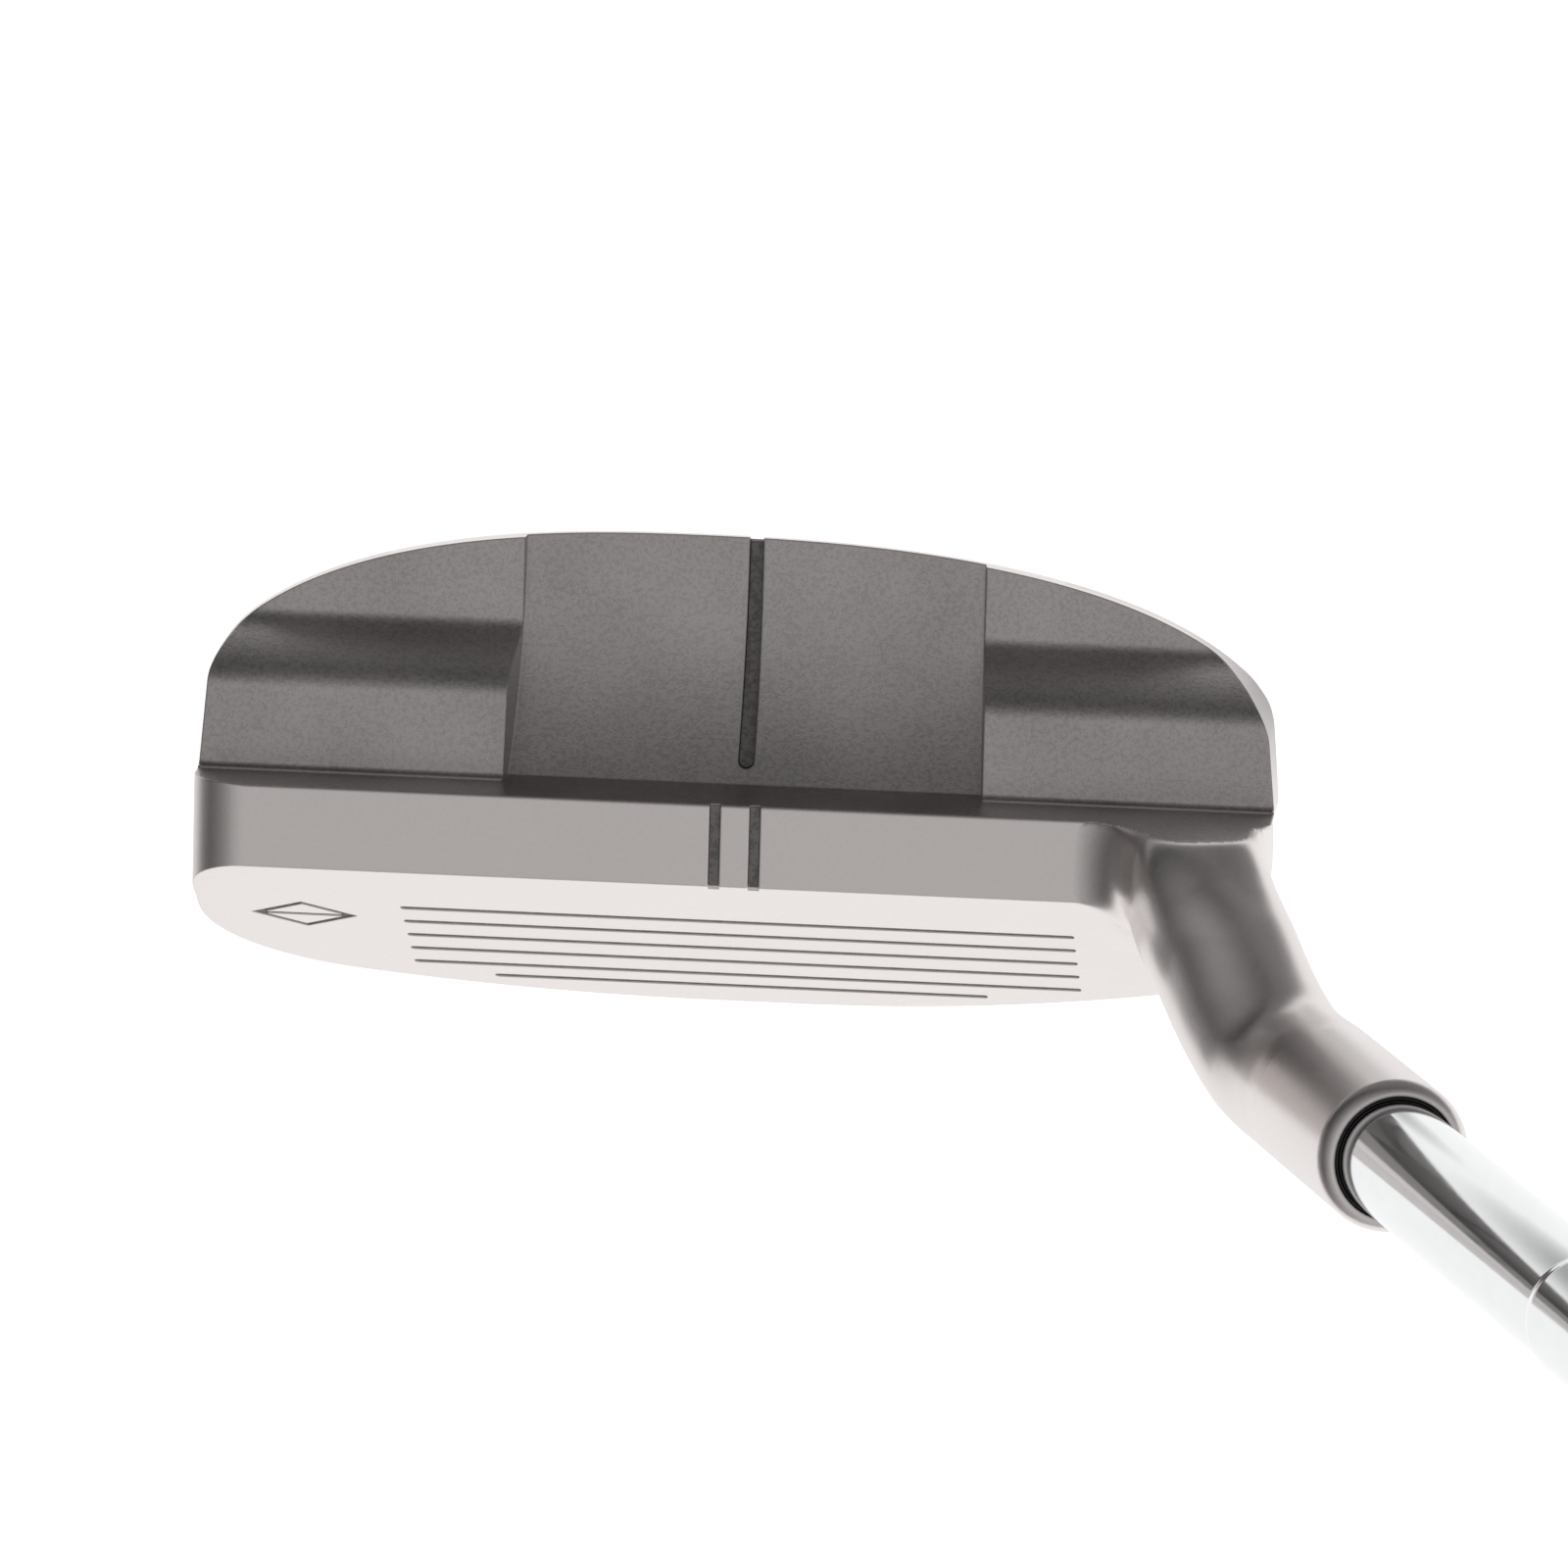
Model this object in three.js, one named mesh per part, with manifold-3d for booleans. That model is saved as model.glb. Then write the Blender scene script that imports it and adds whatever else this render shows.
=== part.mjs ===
// A heel-shafted golf putter with a lofted, scored blade and a winged flange.
// Units are millimetres. +Z is up, +X points from the toe to the heel and +Y points from the
// face to the rear. The origin lies on the flat of the sole, under the middle of the topline's
// front edge, so Z = 0 is the ground with the club soled at address.
import * as THREE from "three";
import { mergeVertices } from "three/addons/utils/BufferGeometryUtils.js";
import Module from "manifold-3d";

const wasm = await Module();
wasm.setup();
const { Manifold, Mesh: SolidMesh } = wasm;

const DEG = Math.PI / 180;
const PAST = 1; // how far a cut runs past the surface that it opens
const AXIS_X = new THREE.Vector3(1, 0, 0);
const AXIS_Y = new THREE.Vector3(0, 1, 0);
const AXIS_Z = new THREE.Vector3(0, 0, 1);

// ---- Driving dimensions ----------------------------------------------------------------

const club = {
  length: 889, // along the shaft's axis, from the ground to the end of the grip
  lie: 71 * DEG, // the shaft's angle to the ground
};

const blade = {
  toe: -44.8, // X of the toe end
  heel: 43.7, // X of the heel end
  height: 27.2, // topline above the ground
  loft: 31 * DEG, // lean of the face from the vertical
  topline: 6.8, // width of the flat on top
  topCorner: 4.6, // radius where the topline rolls over into the toe
  heelCorner: 2.5,
};

const sole = {
  flat: 4, // half width of the flat patch that rests on the ground
  toeCamber: 110, // radius of the sweep from that flat towards the toe
  heelCamber: 78,
  cornerHeight: 16.5, // where the sweep has turned up into the end
  cornerStart: 12, // how far in from the end that turn begins
  cornerReach: 6.5, // how far the turn keeps to the sweep
  cornerFullness: 0.62, // larger holds the turn closer to the upright end
  leadingRadius: 1.2,
  reliefStart: 9, // Y where the underside starts to climb to the rear
  reliefSag: 0.6, // height of the bend that gives the underside its bulge
};

const flange = {
  depth: 26.2, // rearmost point, from the face's top edge
  peakX: -5.2, // X of the rearmost point
  bowPower: 2.38, // larger is flatter in the middle of the bow
  bowFullness: 4.22, // larger is fuller towards its ends
  bowBase: -10, // Y where the bow's own curve would close
  toeOverrun: 4.05, // how far past the toe and the heel it would close
  heelOverrun: 3.2,
  taperStart: 5, // Y where the ends of the head start to lean inwards
  toeTaper: 3.8 * DEG,
  heelTaper: 6.2 * DEG,
  cornerRound: 1.9, // length of the rounding on each side of a corner
  wallHeight: 1.8, // upright rear wall below the wings' edge
};

const wing = {
  innerX: 19.8, // from the middle to the top of each inner wall
  ledgeHeight: 13.8, // at the rear
  shelfHeight: 21, // against the blade
  shelfFall: 0.8, // drop of the shelf from the blade to the top of the ramp
  rampTop: 13.4, // Y of the top of the ramp
  rampFoot: 18.1, // Y of the foot of the ramp
};

const panel = {
  wallDraft: 0.5, // each side wall leans out by this much
  rearHeight: 12.7,
  frontHeight: 19,
  sweep: 2.3, // power of the rising curve: larger is flatter at the rear
};

const sightLine = {
  frontY: 8.6, // centre of the rounded front end
  frontWidth: 1.34,
  rearWidth: 1.14,
  depth: 1.1,
  fillDrop: 0.55, // of the paint below the panel
  fillEnd: 0.4, // from the end of the paint to the rear edge
};

const topMark = {
  spacing: 3.26, // centre to centre
  width: 0.9,
  depth: 0.5,
};

const score = {
  full: 5, // lines of full length
  firstDown: 9.04, // first line, down the face from the topline
  lastPitch: 2.9, // from the last full line to the short one
  footMargin: 6.03, // from the short line to the sharp corner of face and sole
  length: 55.5,
  shortLength: 41.1,
  centreX: -0.3,
  shortCentreX: -1,
  width: 0.75,
  depth: 0.42,
};

const emblem = {
  x: -36.2,
  down: 11.7, // centre, down the face from the topline
  halfLength: 4.4,
  halfHeight: 3.1,
  line: 0.5,
  depth: 0.4,
};

const paint = {
  sideGap: 0.06, // between a fill and the walls of its groove
  recess: 0.12, // of the fill below the metal
};

// The neck's centre line, measured from the heel end of the topline's front edge.
const neck = {
  path: [
    [-6.3, 2.6, -15.2],
    [-6.3, 2.7, -7.2],
    [-6.2, 2.8, -1.7],
    [-5.9, 2.5, 2.6],
    [-4.75, 0.1, 5.1],
    [-3.05, -2.65, 7],
    [-1.5, -5.4, 8.8],
    [-0.3, -7.2, 10.1],
    [1.6, -9.4, 12.2],
  ],
  waist: 5.5, // radius at the thinnest place
  rootSwell: 0.45, // extra radius at the blade
};

const hosel = {
  mouth: new THREE.Vector3(56.2, -10.65, 66.7), // centre of the bore's mouth
  wall: 1.2, // around the bore
  rimRound: 1.1,
  straight: 24, // coaxial length below the mouth
  boreDepth: 26,
  mouthChamfer: 0.7,
};

const shaft = {
  tipRadius: 4.7,
  buttRadius: 7.62,
  steps: 14,
  firstStep: 50, // above the hosel's mouth
  stepPitch: 38,
  stepShoulder: 1.6, // length of each cone between two steps
  wall: 0.55,
  insertion: 25,
};

const fit = {
  shaftInBore: 0.3, // radial room for the adhesive
  bottomGap: 1, // of the adhesive above the tip of the shaft
  adhesiveGap: 0.07, // kept on each side of the adhesive
  tapeGap: 0.05, // kept on each side of the grip tape
  tapeInset: 3, // of the tape inside the mouth of the grip
  capGap: 0.6, // between the grip's end and the cap's flange
  plugGap: 0.2, // of the cap's plug inside the shaft
};

const grip = {
  length: 267,
  mouthWall: 1.04, // thickness over the tape, at the mouth, the butt and the cap
  buttWall: 5.04,
  capWall: 6.34,
  mouthRound: 0.6,
  capFlare: 9, // length of the swelling under the cap
  tape: 0.14, // thickness of the tape under the grip
  capThickness: 3.4,
  capRound: 1.2,
  plugLength: 8, // of the cap inside the shaft
  ventRadius: 1.5,
};

// ---- Helpers ---------------------------------------------------------------------------

function solid(geometry) {
  const bare = geometry.index ? geometry.toNonIndexed() : geometry.clone();
  bare.deleteAttribute("normal");
  bare.deleteAttribute("uv");
  const merged = mergeVertices(bare, 1e-4);
  const made = new Manifold(
    new SolidMesh({
      numProp: 3,
      vertProperties: merged.attributes.position.array,
      triVerts: new Uint32Array(merged.index.array),
    }),
  );
  return made;
}

function geometryOf(made) {
  const mesh = made.getMesh();
  const geometry = new THREE.BufferGeometry();
  geometry.setAttribute("position", new THREE.BufferAttribute(mesh.vertProperties, 3));
  geometry.setIndex(new THREE.BufferAttribute(mesh.triVerts, 1));
  return geometry;
}

function shapeOf(points) {
  return new THREE.Shape(points.map(([u, v]) => new THREE.Vector2(u, v)));
}

// A prism of a closed outline, its local axes laid along three world directions.
function prism(outline, length, right, up, origin = new THREE.Vector3()) {
  const geometry = new THREE.ExtrudeGeometry(shapeOf(outline), {
    depth: length,
    bevelEnabled: false,
  });
  const out = new THREE.Vector3().crossVectors(right, up);
  const frame = new THREE.Matrix4().makeBasis(right, up, out).setPosition(origin);
  return geometry.applyMatrix4(frame);
}

// Outlines in the YZ plane, pushed along X from one side to the other.
function acrossHead(outline, fromX, toX) {
  return solid(prism(outline, toX - fromX, AXIS_Y, AXIS_Z, AXIS_X.clone().multiplyScalar(fromX)));
}

// Outlines in the XZ plane, pushed along -Y.
function throughHead(outline, fromY, toY) {
  return solid(prism(outline, fromY - toY, AXIS_X, AXIS_Z, AXIS_Y.clone().multiplyScalar(fromY)));
}

// Outlines in the XY plane, pushed up.
function upright(outline, fromZ, toZ) {
  return solid(prism(outline, toZ - fromZ, AXIS_X, AXIS_Y, AXIS_Z.clone().multiplyScalar(fromZ)));
}

function rectangle(centreU, centreV, sizeU, sizeV) {
  const [u, v] = [sizeU / 2, sizeV / 2];
  return [
    [centreU - u, centreV - v],
    [centreU + u, centreV - v],
    [centreU + u, centreV + v],
    [centreU - u, centreV + v],
  ];
}

function arc(centreU, centreV, radius, from, to, count) {
  return Array.from({ length: count + 1 }, (_, i) => {
    const angle = from + ((to - from) * i) / count;
    return [centreU + radius * Math.cos(angle), centreV + radius * Math.sin(angle)];
  });
}

// The two ways to close the end of a loft: round rings by a fan, profiles in YZ by their outline.
function fanCap(ring) {
  return ring.slice(2).map((_, i) => [0, i + 1, i + 2]);
}

function profileCap(ring) {
  return THREE.ShapeUtils.triangulateShape(ring.map((p) => new THREE.Vector2(p.y, p.z)), []);
}

// A closed skin over rings of equally many points, each ring counterclockwise seen from the last.
function loft(rings, cap = fanCap) {
  const sides = rings[0].length;
  const points = rings.flat();
  const positions = points.flatMap((p) => [p.x, p.y, p.z]);
  const index = [];
  for (let r = 0; r + 1 < rings.length; r++) {
    for (let i = 0; i < sides; i++) {
      const [a, b] = [r * sides + i, r * sides + ((i + 1) % sides)];
      index.push(a, b, b + sides, a, b + sides, a + sides);
    }
  }
  const top = (rings.length - 1) * sides;
  for (const [a, b, c] of cap(rings[0])) index.push(a, c, b);
  for (const [a, b, c] of cap(rings.at(-1))) index.push(top + a, top + b, top + c);
  const geometry = new THREE.BufferGeometry();
  geometry.setAttribute("position", new THREE.Float32BufferAttribute(positions, 3));
  geometry.setIndex(index);
  return geometry;
}

// A body of revolution about the shaft's axis. Heights are measured from the ground along it.
const axisUp = new THREE.Vector3(Math.cos(club.lie), 0, Math.sin(club.lie));
const mouthAt = hosel.mouth.z / axisUp.z;
const ground = hosel.mouth.clone().addScaledVector(axisUp, -mouthAt);

function turned(profile, sides = 48) {
  const lathe = new THREE.LatheGeometry(
    profile.map(([radius, height]) => new THREE.Vector2(radius, height)),
    sides,
  );
  const right = new THREE.Vector3().crossVectors(axisUp, AXIS_Y).negate();
  const front = new THREE.Vector3().crossVectors(right, axisUp);
  const frame = new THREE.Matrix4().makeBasis(right, axisUp, front).setPosition(ground);
  return lathe.applyMatrix4(frame);
}

// ---- Head casting ----------------------------------------------------------------------

const faceUp = new THREE.Vector3(0, Math.sin(blade.loft), Math.cos(blade.loft));
const faceOut = new THREE.Vector3().crossVectors(AXIS_X, faceUp);
const leadingEdge = -blade.height * Math.tan(blade.loft);
const boreRadius = shaft.tipRadius + fit.shaftInBore;
const hoselRadius = boreRadius + hosel.wall;

// Y of the bowed rear edge at one X.
function rearEdge(x) {
  const toeward = x < flange.peakX;
  const closing = toeward ? blade.toe - flange.toeOverrun : blade.heel + flange.heelOverrun;
  const share = (x - flange.peakX) / (closing - flange.peakX);
  const reach = (1 - share ** flange.bowPower) ** (1 / flange.bowFullness);
  return flange.bowBase + (flange.depth - flange.bowBase) * reach;
}

// X of the head's toe (side -1) or heel (side 1) end at one Y behind the start of its taper.
function endAt(side, y) {
  const end = side > 0 ? blade.heel : blade.toe;
  const taper = side > 0 ? flange.heelTaper : flange.toeTaper;
  return end - side * Math.tan(taper) * (y - flange.taperStart);
}

// The rounded corner between one end and the bow, from the end to the bow.
function flangeCorner(side) {
  let y = flange.depth;
  for (let i = 0; i < 20; i++) y = rearEdge(endAt(side, y));
  const low = y - flange.cornerRound;
  const inside = endAt(side, y) - side * flange.cornerRound;
  const bend = new THREE.QuadraticBezierCurve(
    new THREE.Vector2(endAt(side, low), low),
    new THREE.Vector2(endAt(side, y), y),
    new THREE.Vector2(inside, rearEdge(inside)),
  );
  return bend.getPoints(6).map((p) => [p.x, p.y]);
}

// Plan view: ends that taper to the rear, two rounded corners and the bow.
function planOutline() {
  const [heelCorner, toeCorner] = [flangeCorner(1), flangeCorner(-1)];
  const [from, to] = [heelCorner.at(-1)[0], toeCorner.at(-1)[0]];
  const count = 44;
  const bow = Array.from({ length: count - 1 }, (_, i) => {
    const x = from + ((to - from) * (i + 1)) / count;
    return [x, rearEdge(x)];
  });
  return [
    [blade.toe, 2 * leadingEdge],
    [blade.heel, 2 * leadingEdge],
    [blade.heel, flange.taperStart],
    ...heelCorner,
    ...bow,
    ...toeCorner.reverse(),
    [blade.toe, flange.taperStart],
  ];
}

function wingHeight(y) {
  const rampHigh = wing.shelfHeight - wing.shelfFall;
  if (y >= wing.rampFoot) return wing.ledgeHeight;
  if (y >= wing.rampTop) {
    const s = (wing.rampFoot - y) / (wing.rampFoot - wing.rampTop);
    return wing.ledgeHeight + (rampHigh - wing.ledgeHeight) * Math.sin((Math.PI / 2) * s);
  }
  const s = (wing.rampTop - y) / (wing.rampTop - blade.topline);
  return rampHigh + wing.shelfFall * s;
}

function panelHeight(y) {
  const s = Math.min(1, Math.max(0, (flange.depth - y) / (flange.depth - blade.topline)));
  return panel.rearHeight + (panel.frontHeight - panel.rearHeight) * s ** panel.sweep;
}

// The underside from the flat patch to one end, as [x, z] points: the sweep, then the turn.
function underside(side) {
  const end = side > 0 ? blade.heel : blade.toe;
  const radius = side > 0 ? sole.heelCamber : sole.toeCamber;
  const start = Math.abs(end) - sole.cornerStart;
  const sweep = Array.from({ length: 9 }, (_, i) => {
    const past = ((start - sole.flat) * i) / 8;
    return [side * (sole.flat + past), past ** 2 / (2 * radius)];
  });
  const [x, z] = sweep.at(-1);
  const slope = (start - sole.flat) / radius;
  const turn = new THREE.CubicBezierCurve(
    new THREE.Vector2(x, z),
    new THREE.Vector2(x + side * sole.cornerReach, z + sole.cornerReach * slope),
    new THREE.Vector2(end, sole.cornerHeight * sole.cornerFullness),
    new THREE.Vector2(end, sole.cornerHeight),
  );
  return [...sweep, ...turn.getPoints(12).slice(1).map((p) => [p.x, p.y])];
}

// Side view of the head through the wings, above an underside at the given height: leading edge,
// underside, rear, wing, topline. The wing stays above an underside that has turned up, where
// the plan outline cuts it away.
function sideProfile(x, bottom) {
  const r = sole.leadingRadius;
  const lean = (blade.height - bottom - r) * Math.tan(blade.loft);
  const noseY = r / Math.cos(blade.loft) - lean;
  const nose = arc(noseY, bottom + r, r, Math.PI - blade.loft, 1.5 * Math.PI, 8);
  const rear = flange.depth + PAST;
  const rampSteps = Array.from({ length: 11 }, (_, i) => i / 10);
  const ramp = rampSteps.map((t) => THREE.MathUtils.lerp(wing.rampFoot, wing.rampTop, t));
  const wingTop = [rear, ...ramp, blade.topline].map((y) => [
    y,
    Math.max(wingHeight(y), bottom + r),
  ]);
  const outline = [
    ...nose,
    [rear, bottom],
    ...wingTop,
    [blade.topline, blade.height],
    [0, blade.height],
  ];
  return outline.map(([y, z]) => new THREE.Vector3(x, y, z));
}

function bladeBody() {
  const [toeEnd, heelEnd] = [underside(-1).reverse(), underside(1)];
  const stations = [
    [blade.toe - PAST, sole.cornerHeight],
    ...toeEnd,
    ...heelEnd,
    [blade.heel + PAST, sole.cornerHeight],
  ];
  return solid(loft(stations.map(([x, z]) => sideProfile(x, z)), profileCap));
}

// Front view of the ends and the topline's corners.
function frontOutline() {
  const toeTop = arc(
    blade.toe + blade.topCorner, blade.height - blade.topCorner, blade.topCorner,
    Math.PI / 2, Math.PI, 8,
  );
  const heelTop = arc(
    blade.heel - blade.heelCorner, blade.height - blade.heelCorner, blade.heelCorner,
    0, Math.PI / 2, 5,
  );
  return [[blade.toe, -PAST], [blade.heel, -PAST], ...heelTop, ...toeTop];
}

// Everything inside the plan outline, drawn in towards the sole below the upright rear wall.
function planBody() {
  const wallFoot = wing.ledgeHeight - flange.wallHeight;
  const relief = new THREE.QuadraticBezierCurve(
    new THREE.Vector2(0, 0),
    new THREE.Vector2(0.5, sole.reliefSag),
    new THREE.Vector2(1, wallFoot),
  );
  const outline = planOutline();
  const ringAt = (share, z) => outline.map(([x, y]) => {
    const past = Math.max(0, y - sole.reliefStart);
    return new THREE.Vector3(x, y - past * (1 - share), z);
  });
  const rings = relief.getPoints(14).map((p) => ringAt(p.x, p.y));
  return solid(loft([ringAt(0, -PAST), ...rings, ringAt(1, blade.height + PAST)]));
}

// The panel between the wings: everything above its rising floor is cut away.
function panelCut() {
  const [from, to] = [blade.topline, flange.depth + PAST];
  const floor = Array.from({ length: 17 }, (_, i) => {
    const y = THREE.MathUtils.lerp(from, to, i / 16);
    return [y, panelHeight(y)];
  });
  const roof = blade.height + PAST;
  const hollow = [...floor, [to, roof], [from, roof]];
  const bottom = panel.rearHeight - PAST;
  const lean = panel.wallDraft;
  const [low, high] = [wing.innerX - 2 * lean, wing.innerX + lean];
  const walls = [[-low, bottom], [low, bottom], [high, roof], [-high, roof]];
  return acrossHead(hollow, -high, high).intersect(throughHead(walls, to, 0));
}

// A slot along +Y with one round end at the front, open past the rear edge.
function slotOutline(inset) {
  const front = sightLine.frontWidth / 2 - inset;
  const rear = sightLine.rearWidth / 2 - inset;
  const end = inset > 0 ? flange.depth - sightLine.fillEnd : flange.depth + PAST;
  return [[rear, end], [-rear, end], ...arc(0, sightLine.frontY, front, Math.PI, 2 * Math.PI, 10)];
}

function sightLayer(inset, topDepth, bottomDepth) {
  const from = sightLine.frontY - sightLine.frontWidth;
  const to = flange.depth + PAST;
  const steps = Array.from({ length: 17 }, (_, i) => THREE.MathUtils.lerp(from, to, i / 16));
  const top = steps.map((y) => [y, panelHeight(y) - topDepth]);
  const bottom = steps.map((y) => [y, panelHeight(y) - bottomDepth]);
  const side = sightLine.frontWidth;
  const layer = acrossHead([...top, ...bottom.reverse()], -side, side);
  return layer.intersect(upright(slotOutline(inset), 0, blade.height));
}

// A point on the face plane, so far down from the topline and so far out of the metal.
function onFace(x, down, out = 0) {
  return new THREE.Vector3(x, 0, blade.height)
    .addScaledVector(faceUp, -down)
    .addScaledVector(faceOut, out);
}

// A prism standing on the face, its outline drawn across (X) and up the face.
function standingOnFace(outline, x, down, fromOut, toOut) {
  return solid(prism(outline, toOut - fromOut, AXIS_X, faceUp, onFace(x, down, fromOut)));
}

// The full lines are spread evenly between the first one and the last, above the short one.
const faceLength = blade.height / Math.cos(blade.loft);
const shortDown = faceLength - score.footMargin;
const pitch = (shortDown - score.lastPitch - score.firstDown) / (score.full - 1);
const scoreLines = Array.from({ length: score.full + 1 }, (_, i) => {
  const short = i === score.full;
  return {
    x: short ? score.shortCentreX : score.centreX,
    down: short ? shortDown : score.firstDown + i * pitch,
    length: short ? score.shortLength : score.length,
  };
});

function scoreCut(line) {
  const outline = rectangle(0, 0, line.length, score.width);
  return standingOnFace(outline, line.x, line.down, -score.depth, PAST);
}

function scoreFill(line) {
  const gap = 2 * paint.sideGap;
  const outline = rectangle(0, 0, line.length - gap, score.width - gap);
  const floor = -score.depth + paint.sideGap;
  return standingOnFace(outline, line.x, line.down, floor, -paint.recess);
}

// The emblem is a plain lozenge ring with one bar across it.
function lozenge(halfLength, halfHeight) {
  return [[halfLength, 0], [0, halfHeight], [-halfLength, 0], [0, -halfHeight]];
}

function emblemBody(inset, fromOut, toOut) {
  const place = (outline, beyond = 0) =>
    standingOnFace(outline, emblem.x, emblem.down, fromOut - beyond, toOut + beyond);
  const slant = Math.hypot(emblem.halfLength, emblem.halfHeight);
  const grow = (distance) => [
    emblem.halfLength + (distance * slant) / emblem.halfHeight,
    emblem.halfHeight + (distance * slant) / emblem.halfLength,
  ];
  const outer = place(lozenge(...grow(-inset)));
  const inner = place(lozenge(...grow(inset - emblem.line)), PAST);
  const reach = emblem.halfLength - emblem.line - inset;
  const bar = place(rectangle(0, 0, 2 * reach, emblem.line - 2 * inset));
  return outer.subtract(inner).add(bar);
}

function topMarkX(side) {
  return (side * topMark.spacing) / 2;
}

function topMarkCut(side) {
  const length = blade.topline + 2 * PAST;
  const outline = rectangle(topMarkX(side), blade.topline / 2, topMark.width, length);
  return upright(outline, blade.height - topMark.depth, blade.height + PAST);
}

function topMarkFill(side) {
  const width = topMark.width - 2 * paint.sideGap;
  const length = blade.topline - 2 * paint.sideGap;
  const outline = rectangle(topMarkX(side), blade.topline / 2, width, length);
  const floor = blade.height - topMark.depth + paint.sideGap;
  return upright(outline, floor, blade.height - paint.recess);
}

// The neck rises from the heel, sweeps forward and ends in the straight hosel.
function neckRings(sides = 40) {
  const m = hosel.mouth;
  const bend = m.clone().addScaledVector(axisUp, -hosel.straight);
  const heelTop = new THREE.Vector3(blade.heel, 0, blade.height);
  const root = neck.path.map(([x, y, z]) => new THREE.Vector3(x, y, z).add(heelTop));
  const path = new THREE.CatmullRomCurve3([...root, bend], false, "centripetal");
  const rings = [];
  const steps = 30;
  const spread = hoselRadius - neck.waist;
  const radiusAt = (s) => neck.waist + spread * s ** 3 + neck.rootSwell * (1 - s) ** 4;
  const ring = (centre, along, radius) => {
    const side = new THREE.Vector3().crossVectors(AXIS_Y, along).normalize();
    const out = new THREE.Vector3().crossVectors(along, side).normalize();
    return Array.from({ length: sides }, (_, i) => {
      const angle = (2 * Math.PI * i) / sides;
      return centre.clone()
        .addScaledVector(side, radius * Math.cos(angle))
        .addScaledVector(out, radius * Math.sin(angle));
    });
  };
  for (let i = 0; i <= steps; i++) {
    const s = i / steps;
    rings.push(ring(path.getPointAt(s), path.getTangentAt(s), radiusAt(s)));
  }
  const round = hosel.rimRound;
  rings.push(ring(m.clone().addScaledVector(axisUp, -round), axisUp, hoselRadius));
  for (let i = 1; i <= 5; i++) {
    const angle = (Math.PI / 2) * (i / 5);
    const up = round * (Math.sin(angle) - 1);
    const radius = hoselRadius - round * (1 - Math.cos(angle));
    rings.push(ring(m.clone().addScaledVector(axisUp, up), axisUp, radius));
  }
  return rings;
}

// The neck, its root cut off flat behind the topline, in line with the blade's back.
function neckBody() {
  const behind = [
    [blade.topline, wing.ledgeHeight],
    [flange.depth, wing.ledgeHeight],
    [flange.depth, hosel.mouth.z],
    [blade.topline, hosel.mouth.z],
  ];
  return solid(loft(neckRings())).subtract(acrossHead(behind, 0, 2 * hosel.mouth.x));
}

function boreCut() {
  const mouth = boreRadius + hosel.mouthChamfer;
  return solid(turned([
    [0, mouthAt - hosel.boreDepth],
    [boreRadius, mouthAt - hosel.boreDepth],
    [boreRadius, mouthAt - hosel.mouthChamfer],
    [mouth, mouthAt],
    [mouth, mouthAt + PAST],
    [0, mouthAt + PAST],
  ]));
}

function headCasting() {
  let head = bladeBody()
    .intersect(throughHead(frontOutline(), flange.depth + 2 * PAST, 2 * leadingEdge))
    .intersect(planBody())
    .subtract(panelCut())
    .add(neckBody())
    .subtract(boreCut())
    .subtract(sightLayer(0, -PAST, sightLine.depth))
    .subtract(topMarkCut(-1))
    .subtract(topMarkCut(1))
    .subtract(emblemBody(0, -emblem.depth, PAST));
  for (const line of scoreLines) head = head.subtract(scoreCut(line));
  return head;
}

// ---- Shaft, adhesive and grip ----------------------------------------------------------

const tipAt = mouthAt - shaft.insertion;
const buttAt = club.length - grip.capThickness;

function shaftBody() {
  const outside = [[shaft.tipRadius, tipAt]];
  const rise = (shaft.buttRadius - shaft.tipRadius) / shaft.steps;
  for (let i = 0; i < shaft.steps; i++) {
    const at = mouthAt + shaft.firstStep + i * shaft.stepPitch;
    outside.push([shaft.tipRadius + i * rise, at]);
    outside.push([shaft.tipRadius + (i + 1) * rise, at + shaft.stepShoulder]);
  }
  outside.push([shaft.buttRadius, buttAt]);
  const lastStep = mouthAt + shaft.firstStep + (shaft.steps - 1) * shaft.stepPitch;
  const inside = [
    [shaft.buttRadius - shaft.wall, buttAt],
    [shaft.buttRadius - shaft.wall, lastStep + 2 * shaft.stepShoulder],
    [shaft.tipRadius - shaft.wall, mouthAt + shaft.firstStep - shaft.stepShoulder],
    [shaft.tipRadius - shaft.wall, tipAt],
  ];
  return solid(turned([...outside, ...inside, outside[0]]));
}

function shaftAdhesive() {
  const inner = shaft.tipRadius + fit.adhesiveGap;
  const outer = boreRadius - fit.adhesiveGap;
  const lip = outer + hosel.mouthChamfer / 2;
  const low = tipAt + fit.bottomGap;
  return solid(turned([
    [inner, low],
    [outer, low],
    [outer, mouthAt - hosel.mouthChamfer],
    [lip, mouthAt - hosel.mouthChamfer / 3],
    [inner, mouthAt - hosel.mouthChamfer / 5],
    [inner, low],
  ]));
}

const gripMouthAt = club.length - grip.length;
const tapeInner = shaft.buttRadius + fit.tapeGap;
const gripInner = tapeInner + grip.tape + fit.tapeGap;
const gripEndAt = buttAt - fit.capGap / 2;
const capRadius = gripInner + grip.capWall;

function gripTape() {
  const outer = tapeInner + grip.tape;
  return solid(turned([
    [tapeInner, gripMouthAt + fit.tapeInset],
    [outer, gripMouthAt + fit.tapeInset],
    [outer, gripEndAt],
    [tapeInner, gripEndAt],
    [tapeInner, gripMouthAt + fit.tapeInset],
  ]));
}

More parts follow.
